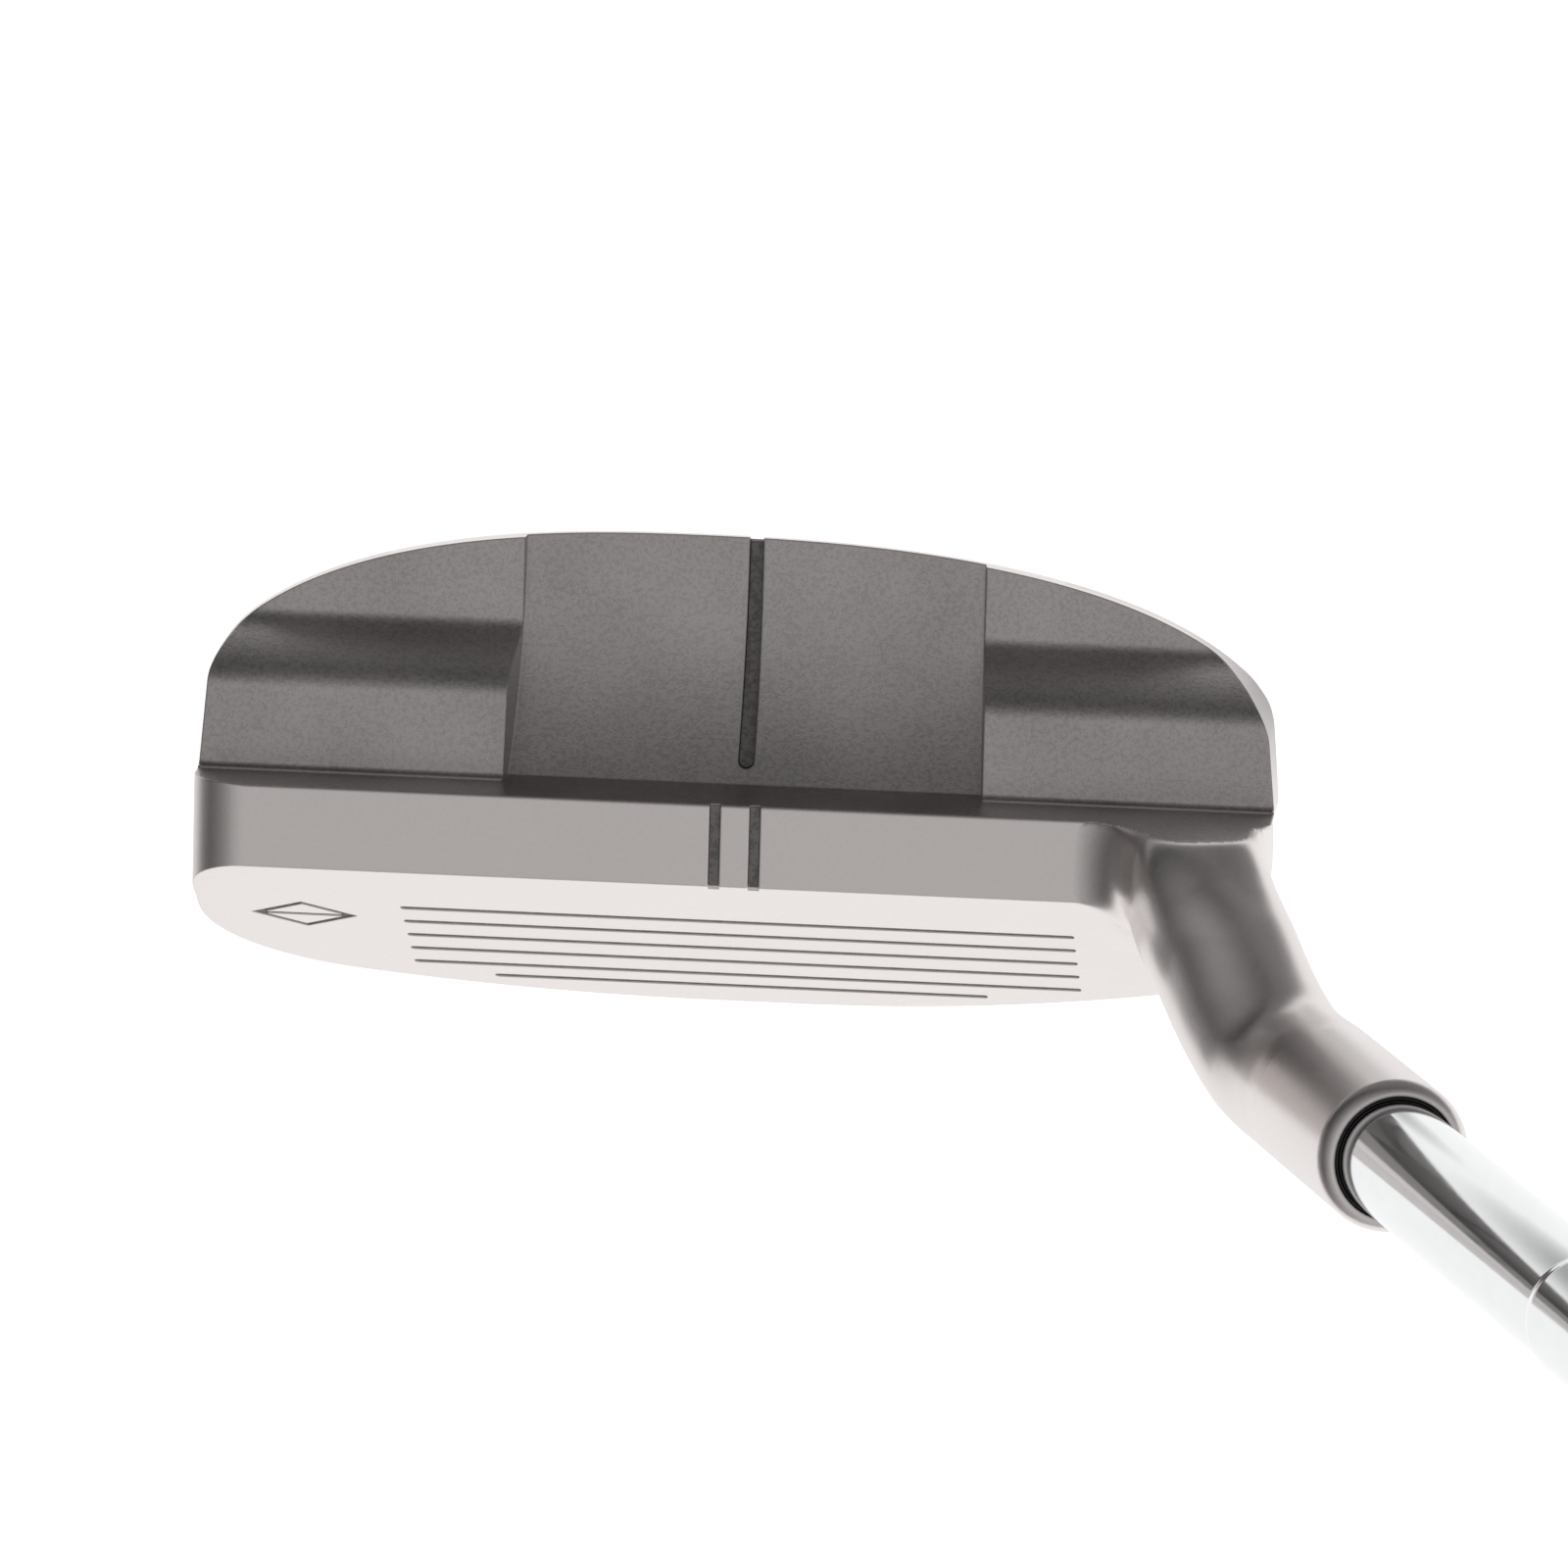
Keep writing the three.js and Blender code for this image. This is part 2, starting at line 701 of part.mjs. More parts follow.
function gripBody() {
  const flareAt = buttAt - grip.capFlare;
  const mouthRadius = gripInner + grip.mouthWall;
  const buttRadius = gripInner + grip.buttWall;
  return solid(turned([
    [gripInner, gripMouthAt],
    [mouthRadius - grip.mouthRound, gripMouthAt],
    [mouthRadius, gripMouthAt + grip.mouthRound],
    [buttRadius, flareAt],
    [(buttRadius + capRadius) / 2, flareAt + grip.capFlare / 2],
    [capRadius, gripEndAt],
    [gripInner, gripEndAt],
    [gripInner, gripMouthAt],
  ]));
}

function gripCap() {
  const plug = shaft.buttRadius - shaft.wall - fit.plugGap;
  const round = grip.capRound;
  const flangeAt = gripEndAt + fit.capGap;
  return solid(turned([
    [grip.ventRadius, buttAt - grip.plugLength],
    [plug, buttAt - grip.plugLength],
    [plug, flangeAt],
    [capRadius, flangeAt],
    ...arc(capRadius - round, club.length - round, round, 0, Math.PI / 2, 4),
    [grip.ventRadius, club.length],
    [grip.ventRadius, buttAt - grip.plugLength],
  ]));
}

// ---- Materials and assembly ------------------------------------------------------------

const satinSteel = new THREE.MeshStandardMaterial({ color: 0xa9a39d, roughness: 0.38, metalness: 1 });
const chrome = new THREE.MeshStandardMaterial({ color: 0xe8eaec, roughness: 0.06, metalness: 1 });
const blackPaint = new THREE.MeshStandardMaterial({ color: 0x1c1a1a, roughness: 0.5, metalness: 0 });
const adhesive = new THREE.MeshStandardMaterial({ color: 0x141312, roughness: 0.45, metalness: 0 });
const rubber = new THREE.MeshStandardMaterial({ color: 0x161616, roughness: 0.85, metalness: 0 });
const tapeFabric = new THREE.MeshStandardMaterial({ color: 0xcfc4a8, roughness: 0.9, metalness: 0 });

const putter = new THREE.Group();

function place(name, made, material) {
  const mesh = new THREE.Mesh(geometryOf(made), material);
  mesh.name = name;
  putter.add(mesh);
}

place("head_casting", headCasting(), satinSteel);
scoreLines.forEach((line, i) => place(`score_line_fill_${i + 1}`, scoreFill(line), blackPaint));
place("topline_mark_fill_toe", topMarkFill(-1), blackPaint);
place("topline_mark_fill_heel", topMarkFill(1), blackPaint);
const sightFloor = sightLine.depth - paint.sideGap;
place("sight_line_fill", sightLayer(paint.sideGap, sightLine.fillDrop, sightFloor), blackPaint);
const emblemFloor = paint.sideGap - emblem.depth;
place("emblem_fill", emblemBody(paint.sideGap, emblemFloor, -paint.recess), blackPaint);
place("shaft", shaftBody(), chrome);
place("shaft_adhesive", shaftAdhesive(), adhesive);
place("grip_tape", gripTape(), tapeFabric);
place("grip", gripBody(), rubber);
place("grip_cap", gripCap(), rubber);

export default putter;
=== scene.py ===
# %% [markdown]
# # A winged putter in steel, chrome and rubber
#
# This lesson dresses a fixed technical model of a golf putter. The model gives every
# dimension, and each visible piece is rebuilt here with finer surfaces and a real finish.
# Lengths are written in millimetres, as a maker would, and scaled to metres at the end.

import bmesh
import bpy
import math
import numpy as np
from mathutils import Matrix, Vector


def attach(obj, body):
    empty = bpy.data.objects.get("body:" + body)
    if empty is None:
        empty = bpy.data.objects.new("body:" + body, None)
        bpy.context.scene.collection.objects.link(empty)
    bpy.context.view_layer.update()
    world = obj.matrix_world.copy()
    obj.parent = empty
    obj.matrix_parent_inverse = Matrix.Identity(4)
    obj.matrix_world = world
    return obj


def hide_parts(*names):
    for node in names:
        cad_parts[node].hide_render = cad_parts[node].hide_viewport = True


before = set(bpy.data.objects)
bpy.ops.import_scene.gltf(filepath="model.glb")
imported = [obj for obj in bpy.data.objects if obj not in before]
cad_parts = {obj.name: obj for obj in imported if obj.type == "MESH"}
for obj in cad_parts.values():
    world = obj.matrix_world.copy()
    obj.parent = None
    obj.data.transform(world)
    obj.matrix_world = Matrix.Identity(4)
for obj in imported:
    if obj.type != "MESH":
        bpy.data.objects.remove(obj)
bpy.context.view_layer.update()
MM = 0.001
print("nodes:", sorted(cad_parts))

# %% [markdown]
# ## Places read from the model
#
# The shaft and the grip turn about one slanted axis. Its two ends are found from the
# shaft's own vertices, so every turned piece made here sits exactly on the real axis. The
# mouth of the hosel lies one insertion depth above the tip of the shaft.

# %% The shaft's axis
def node_points(name):
    """The vertices of one node, in millimetres."""
    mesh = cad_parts[name].data
    flat = np.zeros(3 * len(mesh.vertices), np.float32)
    mesh.vertices.foreach_get("co", flat)
    return flat.reshape(-1, 3).astype(float) / MM


LIE = math.radians(71)
INSERTION = 25.0
AXIS = np.array([math.cos(LIE), 0.0, math.sin(LIE)])
shaft_points = node_points("shaft")
along = shaft_points @ AXIS
GROUND = shaft_points.mean(0) - AXIS * along.mean()
GROUND = GROUND - AXIS * (GROUND[2] / AXIS[2])
TIP_AT, BUTT_AT = (along - GROUND @ AXIS).min(), (along - GROUND @ AXIS).max()
MOUTH_AT = TIP_AT + INSERTION
print("axis foot", GROUND.round(3), "tip", TIP_AT.round(2), "butt", BUTT_AT.round(2))

# %% [markdown]
# ## Closed skins from outlines
#
# Milled and cast metal is easiest to describe by outlines that are swept or stacked. Two
# helpers make every solid: one skins a stack of rings, the other pushes a flat outline
# along a direction. Both close their ends, so that the solids can cut each other.

# %% Helpers that make closed solids
def new_object(name, points, faces):
    mesh = bpy.data.meshes.new(name)
    mesh.from_pydata([tuple(map(float, p)) for p in points], [], faces)
    bm = bmesh.new()
    bm.from_mesh(mesh)
    bmesh.ops.remove_doubles(bm, verts=bm.verts, dist=1e-5)
    bmesh.ops.recalc_face_normals(bm, faces=bm.faces)
    bm.to_mesh(mesh)
    bm.free()
    piece = bpy.data.objects.new(name, mesh)
    bpy.context.scene.collection.objects.link(piece)
    return piece


def skin(name, rings):
    """A closed skin over rings of equally many points."""
    sides = len(rings[0])
    points = [p for ring in rings for p in ring]
    faces = []
    for r in range(len(rings) - 1):
        for i in range(sides):
            a, b = r * sides + i, r * sides + (i + 1) % sides
            faces.append((a, b, b + sides, a + sides))
    faces.append(tuple(range(sides)))
    last = (len(rings) - 1) * sides
    faces.append(tuple(last + i for i in range(sides)))
    return new_object(name, points, faces)


def pushed(name, outline, place, start, stop):
    """A prism: the outline's points (u, v), placed at two depths w."""
    return skin(name, [[place(u, v, w) for u, v in outline] for w in (start, stop)])


def across(u, v, w):
    """Draws on a plane seen from the side, and pushes from toe to heel."""
    return (w, u, v)


def through(u, v, w):
    """Draws on a plane seen from the front, and pushes backwards."""
    return (u, w, v)


def upright(u, v, w):
    """Draws on the ground, and pushes upwards."""
    return (u, v, w)


def combine(piece, other, operation):
    """Cuts, keeps or joins by a boolean, applies it and removes the tool."""
    step = piece.modifiers.new("step", "BOOLEAN")
    step.operation = operation
    step.solver = "MANIFOLD"
    step.object = other
    bpy.context.view_layer.update()
    made = piece.evaluated_get(bpy.context.evaluated_depsgraph_get())
    mesh = bpy.data.meshes.new_from_object(made)
    piece.modifiers.clear()
    piece.data = mesh
    bpy.data.objects.remove(other)


def arc(cu, cv, radius, start, stop, count):
    """Points along a circle about (cu, cv), between two angles."""
    turns = [start + (stop - start) * i / count for i in range(count + 1)]
    return [(cu + radius * math.cos(t), cv + radius * math.sin(t)) for t in turns]


def bezier(points, count):
    """Points along a quadratic or cubic Bezier curve."""
    points = [np.array(p, float) for p in points]
    made = []
    for i in range(count + 1):
        t, level = i / count, points
        while len(level) > 1:
            level = [a * (1 - t) + b * t for a, b in zip(level, level[1:])]
        made.append(tuple(level[0]))
    return made

# %% [markdown]
# ## The outline of the head
#
# The head is one casting. From above it has a straight face, ends that lean in towards the
# rear, and one long bow. From the front its sole sweeps up into both ends. These curves
# follow the technical model, with many more points so that no facet shows.

# %% Plan and front curves
TOE, HEEL, HEIGHT, TOPLINE = -44.8, 43.7, 27.2, 6.8
LOFT = math.radians(31)
DEPTH, PEAK = 26.2, -5.2
BOW_BASE, BOW_FALL, BOW_ROUND = -10, 2.38, 4.22
TOE_REACH, HEEL_REACH = 4.05, 3.2
TOE_TAPER, HEEL_TAPER, TAPER_FROM = math.radians(3.8), math.radians(6.2), 5.0


def rear_edge(x):
    """How far back the bow lies at x: a superellipse on each side of its peak."""
    closing = TOE - TOE_REACH if x < PEAK else HEEL + HEEL_REACH
    share = (x - PEAK) / (closing - PEAK)
    return BOW_BASE + (DEPTH - BOW_BASE) * (1 - share**BOW_FALL) ** (1 / BOW_ROUND)


def end_at(side, y):
    """Where the toe end (side -1) or the heel end (side 1) lies at depth y."""
    end, taper = (HEEL, HEEL_TAPER) if side > 0 else (TOE, TOE_TAPER)
    return end - side * math.tan(taper) * (y - TAPER_FROM)


def flange_corner(side, size=1.9):
    """The rounded corner between one end and the bow."""
    y = DEPTH
    for _ in range(20):
        y = rear_edge(end_at(side, y))
    inside = end_at(side, y) - side * size
    bend = [(end_at(side, y - size), y - size), (end_at(side, y), y)]
    return bezier(bend + [(inside, rear_edge(inside))], 14)


def plan_outline():
    heel, toe = flange_corner(1), flange_corner(-1)
    xs = np.linspace(heel[-1][0], toe[-1][0], 150)[1:-1]
    front = -2 * HEIGHT * math.tan(LOFT)
    bow = [(x, rear_edge(x)) for x in xs]
    left = [(TOE, TAPER_FROM), (TOE, front)]
    return [(HEEL, front), (HEEL, TAPER_FROM)] + heel + bow + toe[::-1] + left


FLAT, UPTURN, LEAD, FULLNESS, END_Z = 4, 12, 6.5, 0.62, 16.5
HEEL_SWEEP, TOE_SWEEP = 78.0, 110.0


def underside(side):
    """The sole from its middle to one end: flat, then a wide sweep, then an upturn."""
    end, radius = (HEEL, HEEL_SWEEP) if side > 0 else (TOE, TOE_SWEEP)
    start = abs(end) - UPTURN
    reach = np.linspace(0, start - FLAT, 26)
    sweep = [(side * (FLAT + p), p * p / (2 * radius)) for p in reach]
    (x, z), slope = sweep[-1], (start - FLAT) / radius
    lead = (x + side * LEAD, z + LEAD * slope)
    return sweep + bezier([(x, z), lead, (end, END_Z * FULLNESS), (end, END_Z)], 30)[1:]


print("rear edge from", round(rear_edge(TOE + 4), 1), "to", round(rear_edge(PEAK), 1))

# %% [markdown]
# ## The side profile
#
# A cut through a wing shows the leading edge, the sole, a ledge at the rear, a soft ramp
# up to a shelf, and the upright back of the blade. The foot of the ramp is rounded, the
# shelf meets the back in a small cove with a fine bead above it, and both edges of the
# topline are broken by a fine radius, as a polisher leaves them. The head is skinned over
# such cuts, one for each station from toe to heel.

# %% Heights of the wings and the panel, and the profile
LEDGE, SHELF, FALL, RAMP_TOP, RAMP_FOOT = 13.8, 21.0, 0.8, 13.4, 18.1
NOSE, COVE, BEAD, EDGE = 1.2, 0.5, 0.2, 0.28
FOOT_SOFTNESS = 1.9
PANEL_REAR, PANEL_RISE, PANEL_CURVE = 12.7, 6.3, 2.3


def wing_height(y):
    """The ledge, the ramp with its rounded foot, and the shelf that falls to the rear."""
    high = SHELF - FALL
    if y < RAMP_TOP:
        return high + FALL * (RAMP_TOP - y) / (RAMP_TOP - TOPLINE)
    turn = math.pi / 2 * (RAMP_FOOT - y) / (RAMP_FOOT - RAMP_TOP)
    climb = (high - LEDGE) * (math.sin(turn) if turn > 0 else turn)
    near = max(FOOT_SOFTNESS - abs(climb), 0) / FOOT_SOFTNESS
    return LEDGE + max(climb, 0) + FOOT_SOFTNESS / 4 * near**2


def panel_height(y):
    share = min(1.0, max(0.0, (DEPTH - y) / (DEPTH - TOPLINE)))
    return PANEL_REAR + PANEL_RISE * share**PANEL_CURVE


def side_profile(x, bottom):
    """The cut through a wing at x, where the sole lies at the height bottom."""
    middle = bottom + NOSE
    lean = (HEIGHT - middle) * math.tan(LOFT)
    nose_y = NOSE / math.cos(LOFT) - lean
    nose = arc(nose_y, middle, NOSE, math.pi - LOFT, 1.5 * math.pi, 12)
    ys = [DEPTH + 1] + list(np.linspace(RAMP_FOOT + 1.2, RAMP_TOP - 0.4, 40))
    top = [(y, max(wing_height(y), middle)) for y in ys]
    foot = max(wing_height(TOPLINE + COVE), middle)
    proud = TOPLINE + BEAD
    cove = arc(proud + COVE, foot + COVE, COVE, 1.5 * math.pi, math.pi, 10)
    cove += [(proud - 0.03, foot + COVE + 0.1), (TOPLINE, foot + COVE + 0.14)]
    back = arc(TOPLINE - EDGE, HEIGHT - EDGE, EDGE, 0, math.pi / 2, 5)
    half = (math.pi / 2 - LOFT) / 2
    inset = EDGE * math.tan(half)
    front = arc(inset, HEIGHT - EDGE, EDGE, math.pi / 2, math.pi - LOFT, 6)
    outline = nose + [(DEPTH + 1, bottom)] + top + cove + back + front
    return [(x, y, z) for y, z in outline]


stations = [(TOE - 1, END_Z)] + underside(-1)[::-1] + underside(1) + [(HEEL + 1, END_Z)]
head = skin("head", [side_profile(x, z) for x, z in stations])
print("profile points", len(side_profile(0, 0)), "stations", len(stations))

# %% [markdown]
# ## Trimming the casting
#
# The skinned body is trimmed by two more solids: the front outline with its rolled topline
# corners, and the plan outline, which also draws in below the rear wall to lift the sole.
# Then the panel is cut down between the wings, and the heel end in front of the back wall
# is stepped in, so that the corner of the flange stands a little proud of the neck.

# %% Trim by the front and plan outlines
TOE_ROLL, HEEL_ROLL, RELIEF_FROM, ABOVE = 4.6, 2.5, 9, 29
toe_top = arc(TOE + TOE_ROLL, HEIGHT - TOE_ROLL, TOE_ROLL, math.pi / 2, math.pi, 20)
heel_top = arc(HEEL - HEEL_ROLL, HEIGHT - HEEL_ROLL, HEEL_ROLL, 0, math.pi / 2, 14)
front_outline = [(TOE, -1), (HEEL, -1)] + heel_top + toe_top
combine(head, pushed("front", front_outline, through, -40, DEPTH + 2), "INTERSECT")

WALL_FOOT = LEDGE - 1.8
plan = plan_outline()


def plan_ring(share, z):
    """The plan outline at height z, with only a share of its depth behind the blade."""
    return [(x, y - max(0, y - RELIEF_FROM) * (1 - share), z) for x, y in plan]


relief = bezier([(0, 0), (0.5, 0.6), (1, WALL_FOOT)], 30)
rings = [plan_ring(0, -1)] + [plan_ring(s, z) for s, z in relief] + [plan_ring(1, ABOVE)]
combine(head, skin("plan", rings), "INTERSECT")
print("head after trimming:", len(head.data.polygons), "faces")

# %% Cut the panel and step in the heel
ys = np.linspace(TOPLINE, DEPTH + 1, 60)
hollow = [(y, panel_height(y)) for y in ys] + [(DEPTH + 1, ABOVE), (TOPLINE, ABOVE)]
panel_tool = pushed("panel", hollow, across, -21, 21)
heel_wall = [(18.8, 11.7), (20.3, 28.2), (20.4, 29.2)]
walls = [(-18.8, 11.7)] + heel_wall + [(-20.4, 29.2), (-20.3, 28.2)]
combine(panel_tool, pushed("walls", walls, through, 0, DEPTH + 2), "INTERSECT")
combine(head, panel_tool, "DIFFERENCE")
step_x, step_back = HEEL - 0.85, TOPLINE - 0.25
step_in = [(step_x, -41), (46, -41), (46, step_back), (step_x, step_back)]
combine(head, pushed("step_in", step_in, upright, -2, 30), "DIFFERENCE")
print("panel floor:", round(panel_height(TOPLINE), 1), "mm high at the blade")

# %% [markdown]
# ## The neck as a distance function
#
# The neck melts into the blade with a soft fillet that no sweep can give. So this part is
# described by a distance function: each point in space is told how far it is from the
# metal. Two such functions blend with a round fillet, and a grid walk turns the blend into
# a mesh. The first step is the centre line: a smooth curve through a few knots, that rises
# out of the heel, leans forward over the blade and runs into the slanted axis.

# %% The neck's centre line
WAIST, SWELL, HOSEL, HOSEL_LENGTH, ON_AXIS = 5.5, 0.45, 6.2, 24, 14
BEND = GROUND + AXIS * (MOUTH_AT - HOSEL_LENGTH)
offsets = [
    (-6.3, 2.6, -15.2), (-6.3, 2.7, -7.2), (-6.2, 2.8, -1.7), (-5.9, 2.5, 2.6),
    (-4.75, 0.1, 5.1), (-3.05, -2.65, 7.0), (-1.5, -5.4, 8.8), (-0.3, -7.2, 10.1),
    (1.6, -9.4, 12.2),
]
knots = [np.array([HEEL + a, b, HEIGHT + c]) for a, b, c in offsets]
knots += [BEND + AXIS * lift for lift in (1, 7, ON_AXIS)]


def smooth_path(knots, count):
    """A centripetal spline through the knots."""
    ends = [2 * knots[0] - knots[1]] + knots + [2 * knots[-1] - knots[-2]]
    made = []
    for p0, p1, p2, p3 in zip(ends, ends[1:], ends[2:], ends[3:]):
        d0, d1, d2 = (np.linalg.norm(b - a) ** 0.5 for a, b in ((p0, p1), (p1, p2), (p2, p3)))
        m1 = ((p1 - p0) / d0 - (p2 - p0) / (d0 + d1) + (p2 - p1) / d1) * d1
        m2 = ((p2 - p1) / d1 - (p3 - p1) / (d1 + d2) + (p3 - p2) / d2) * d1
        for t in np.arange(count) / count:
            a, b = 2 * t**3 - 3 * t**2 + 1, t**3 - 2 * t**2 + t
            made.append(a * p1 + b * m1 + (3 * t**2 - 2 * t**3) * p2 + (t**3 - t**2) * m2)
    return np.array(made + [knots[-1]])


path = smooth_path(knots, 9)
lengths = np.r_[0, np.cumsum(np.linalg.norm(np.diff(path, axis=0), axis=1))]
share = np.clip(lengths / (lengths[-1] - ON_AXIS), 0, 1)
radii = WAIST + (HOSEL - 0.01 - WAIST) * share**3 + SWELL * (1 - share) ** 4
squareness = 2 + 0.8 * np.clip((0.95 - share) / 0.5, 0, 1)
print("neck length", lengths[-1].round(1), "mm")

# %% [markdown]
# ## The blended distance function
#
# The neck is a tube about the centre line, squarer at its root than at the hosel. The heel
# of the blade is three flat cuts with rounded edges. Joining the two with a fillet fills
# the corner between them, and the fillet fades out towards the heel, where the neck stands
# nearly flush with the end of the blade.

# %% Distances: round cuts, round joins and the tube
def round_cut(a, b, r):
    """The common part of two solids, its edge rounded."""
    corner = np.hypot(np.maximum(a + r, 0), np.maximum(b + r, 0))
    return np.minimum(-r, np.maximum(a, b)) + corner


def round_join(a, b, r):
    """Two solids joined by a fillet."""
    corner = np.hypot(np.maximum(r - a, 0), np.maximum(r - b, 0))
    return np.maximum(r, np.minimum(a, b)) - corner


def neck_distance(p):
    """A tube along the path, its section squarer at the root than at the hosel."""
    best = np.full(p.shape[:-1], 1e3, np.float32)
    for a, b, ra, rb, power in zip(path, path[1:], radii, radii[1:], squareness):
        line = (b - a).astype(np.float32)
        size = float(np.linalg.norm(line))
        side = np.cross((0.0, 1.0, 0.0), line / size)
        side = (side / np.linalg.norm(side)).astype(np.float32)
        out = np.cross(line / size, side).astype(np.float32)
        reach = p - a.astype(np.float32)
        t = np.clip(reach @ line / size**2, 0, 1)
        past = reach @ (line / size) - t * size
        u, v = np.abs(reach @ side), np.abs(reach @ out)
        section = (u**power + v**power) ** (1 / power)
        best = np.minimum(best, np.hypot(section, past) - (ra + (rb - ra) * t))
    return best

# %% The neck blended into the blade
HEEL_END, FILLET, THIN_FILLET, SUNK = 42.8, 4.6, 0.8, 0.015
FADE_FROM, FADE_OVER = 37.5, 5


def neck_field(p):
    """How far each point is from the neck and the piece of blade that carries it."""
    p = p.astype(np.float32)
    x, y, z = p[..., 0], p[..., 1], p[..., 2]
    face = -math.cos(LOFT) * y + math.sin(LOFT) * (z - HEIGHT) + SUNK
    blade = round_cut(face, z - HEIGHT + SUNK, 0.3)
    blade = round_cut(blade, x - HEEL_END, 1.6)
    blade = np.maximum(blade, 20 - x)
    fade = np.clip((x - FADE_FROM) / FADE_OVER, 0, 1)
    body = round_join(blade, neck_distance(p), FILLET - (FILLET - THIN_FILLET) * fade)
    body = round_cut(body, y - TOPLINE + 0.012, 0.35)
    foot = 15.5 - z
    cap = (p - (BEND + AXIS * 12).astype(np.float32)) @ AXIS.astype(np.float32)
    return np.maximum(np.maximum(body, foot), np.maximum(cap, 26 - x))


probe = np.array([[35.0, 0.0, 26.0], [35.0, -20.0, 50.0]])
print("inside and outside the metal:", neck_field(probe).round(1))

# %% [markdown]
# ## The walk over the grid
#
# A distance function has no faces yet. The space around it is divided into small cells.
# Each cell that the surface passes gets one vertex, and each grid edge that crosses the
# surface joins the four cells around it into a quad. The vertices are then evened out and
# pulled back onto the surface, which leaves it much smoother than the grid.

# %% Cells, vertices and quads
STEP = np.eye(3, dtype=int)


def crossed_cells(inside):
    """The grid cells that the surface passes, and the number of each in the grid."""
    cells = np.zeros([size - 1 for size in inside.shape], np.uint8)
    nx, ny, nz = cells.shape
    for dx, dy, dz in np.ndindex(2, 2, 2):
        cells += inside[dx:dx + nx, dy:dy + ny, dz:dz + nz]
    crossed = np.argwhere((cells > 0) & (cells < 8))
    number = np.full(cells.shape, -1, np.int64)
    number[tuple(crossed.T)] = np.arange(len(crossed))
    return crossed, number


def cell_points(nodes, values, crossed):
    """The mean of the places where the edges of each cell cross the surface."""
    total = np.zeros((len(crossed), 3))
    count = np.zeros(len(crossed))
    for axis in range(3):
        u, v = (STEP[i] for i in range(3) if i != axis)
        for i, j in np.ndindex(2, 2):
            a = crossed + i * u + j * v
            b = a + STEP[axis]
            va, vb = values[tuple(a.T)], values[tuple(b.T)]
            hit = (va < 0) != (vb < 0)
            t = np.where(hit, va / np.where(hit, va - vb, 1), 0)[:, None]
            spot = nodes[tuple(a.T)] * (1 - t) + nodes[tuple(b.T)] * t
            total += np.where(hit[:, None], spot, 0)
            count += hit
    return total / count[:, None]


def cell_quads(inside, number):
    """The quad around each grid edge that crosses the surface."""
    quads = []
    for axis in range(3):
        before = np.delete(inside, -1, axis)
        after = np.delete(inside, 0, axis)
        edges = np.argwhere(before != after)
        u, v = STEP[(axis + 1) % 3], STEP[(axis + 2) % 3]
        edges = edges[(edges @ u > 0) & (edges @ v > 0)]
        turn = ((0, 0), (1, 0), (1, 1), (0, 1))
        quad = np.stack([number[tuple((edges - i * u - j * v).T)] for i, j in turn], 1)
        outward = before[tuple(edges.T)]
        quads.append(np.where(outward[:, None], quad, quad[:, ::-1]))
    return np.vstack(quads)

# %% Evening out and pulling back
EVENINGS, PULLS, IRONINGS = 2, 3, 30


def around(points, quads):
    """The middle of each point's neighbours."""
    total = np.zeros_like(points)
    count = np.zeros(len(points))
    for i in range(4):
        a, b = quads[:, i], quads[:, (i + 1) % 4]
        for one, other in ((a, b), (b, a)):
            count += np.bincount(one, minlength=len(points))
            for k in range(3):
                total[:, k] += np.bincount(one, points[other, k], minlength=len(points))
    return total / count[:, None]


def pull(field, points, h=0.02):
    """One step of each point towards the surface, along the slope of the field."""
    value = field(points)
    slope = np.stack([
        (field(points + h * e) - field(points - h * e)) / (2 * h) for e in np.eye(3)
    ], -1)
    size = np.maximum((slope**2).sum(-1), 0.25)
    move = -value[:, None] * slope / size[:, None]
    return points + np.clip(move, -0.3, 0.3)


def surface_of(field, axes, name, soft_spot, soft_size):
    """A mesh of the surface, ironed smooth around one soft spot."""
    nodes = np.stack(np.meshgrid(*axes, indexing="ij"), -1).astype(np.float32)
    values = field(nodes)
    crossed, number = crossed_cells(values < 0)
    points = cell_points(nodes, values, crossed)
    quads = cell_quads(values < 0, number)
    for _ in range(EVENINGS):
        points = points + 0.5 * (around(points, quads) - points)
        for _ in range(PULLS):
            points = pull(field, points)
    near = np.exp(-(((points - soft_spot) ** 2).sum(-1)) / soft_size**2)[:, None]
    for _ in range(IRONINGS):
        points = points + 0.6 * near * (around(points, quads) - points)
    return new_object(name, points, [tuple(map(int, q)) for q in quads])

# %% [markdown]
# ## Walking the neck
#
# The grid covers only the heel of the blade and the neck. The inner side of the bend is
# the soft spot: the tube folds there, and ironing turns the fold into a soft hollow.

# %% Make the neck and join it to the blade
CELL, QUICK_CELL = 0.36, 0.7
INNER_BEND, BEND_SIZE = np.array([45.0, -5.0, 41.0]), 5.5
cell = CELL
low, high = (25.5, -18.6, 15.0), (60.0, TOPLINE + 0.8, 60.0)
axes = [np.arange(a, b, cell) for a, b in zip(low, high)]
neck = surface_of(neck_field, axes, "neck", INNER_BEND, BEND_SIZE)
print("neck:", len(neck.data.polygons), "faces")
combine(head, neck, "UNION")

# %% [markdown]
# ## The hosel
#
# The hosel is the socket at the top of the neck that takes the shaft. It is truly round,
# so it is turned like a part on a lathe, with a rolled rim and a chamfered bore. The same
# lathe helper makes the shaft, the glue, the grip and its cap.

# %% A lathe about the shaft's axis
SIDE = np.cross(AXIS, (0.0, 1.0, 0.0))
FRONT = np.cross(SIDE, AXIS)


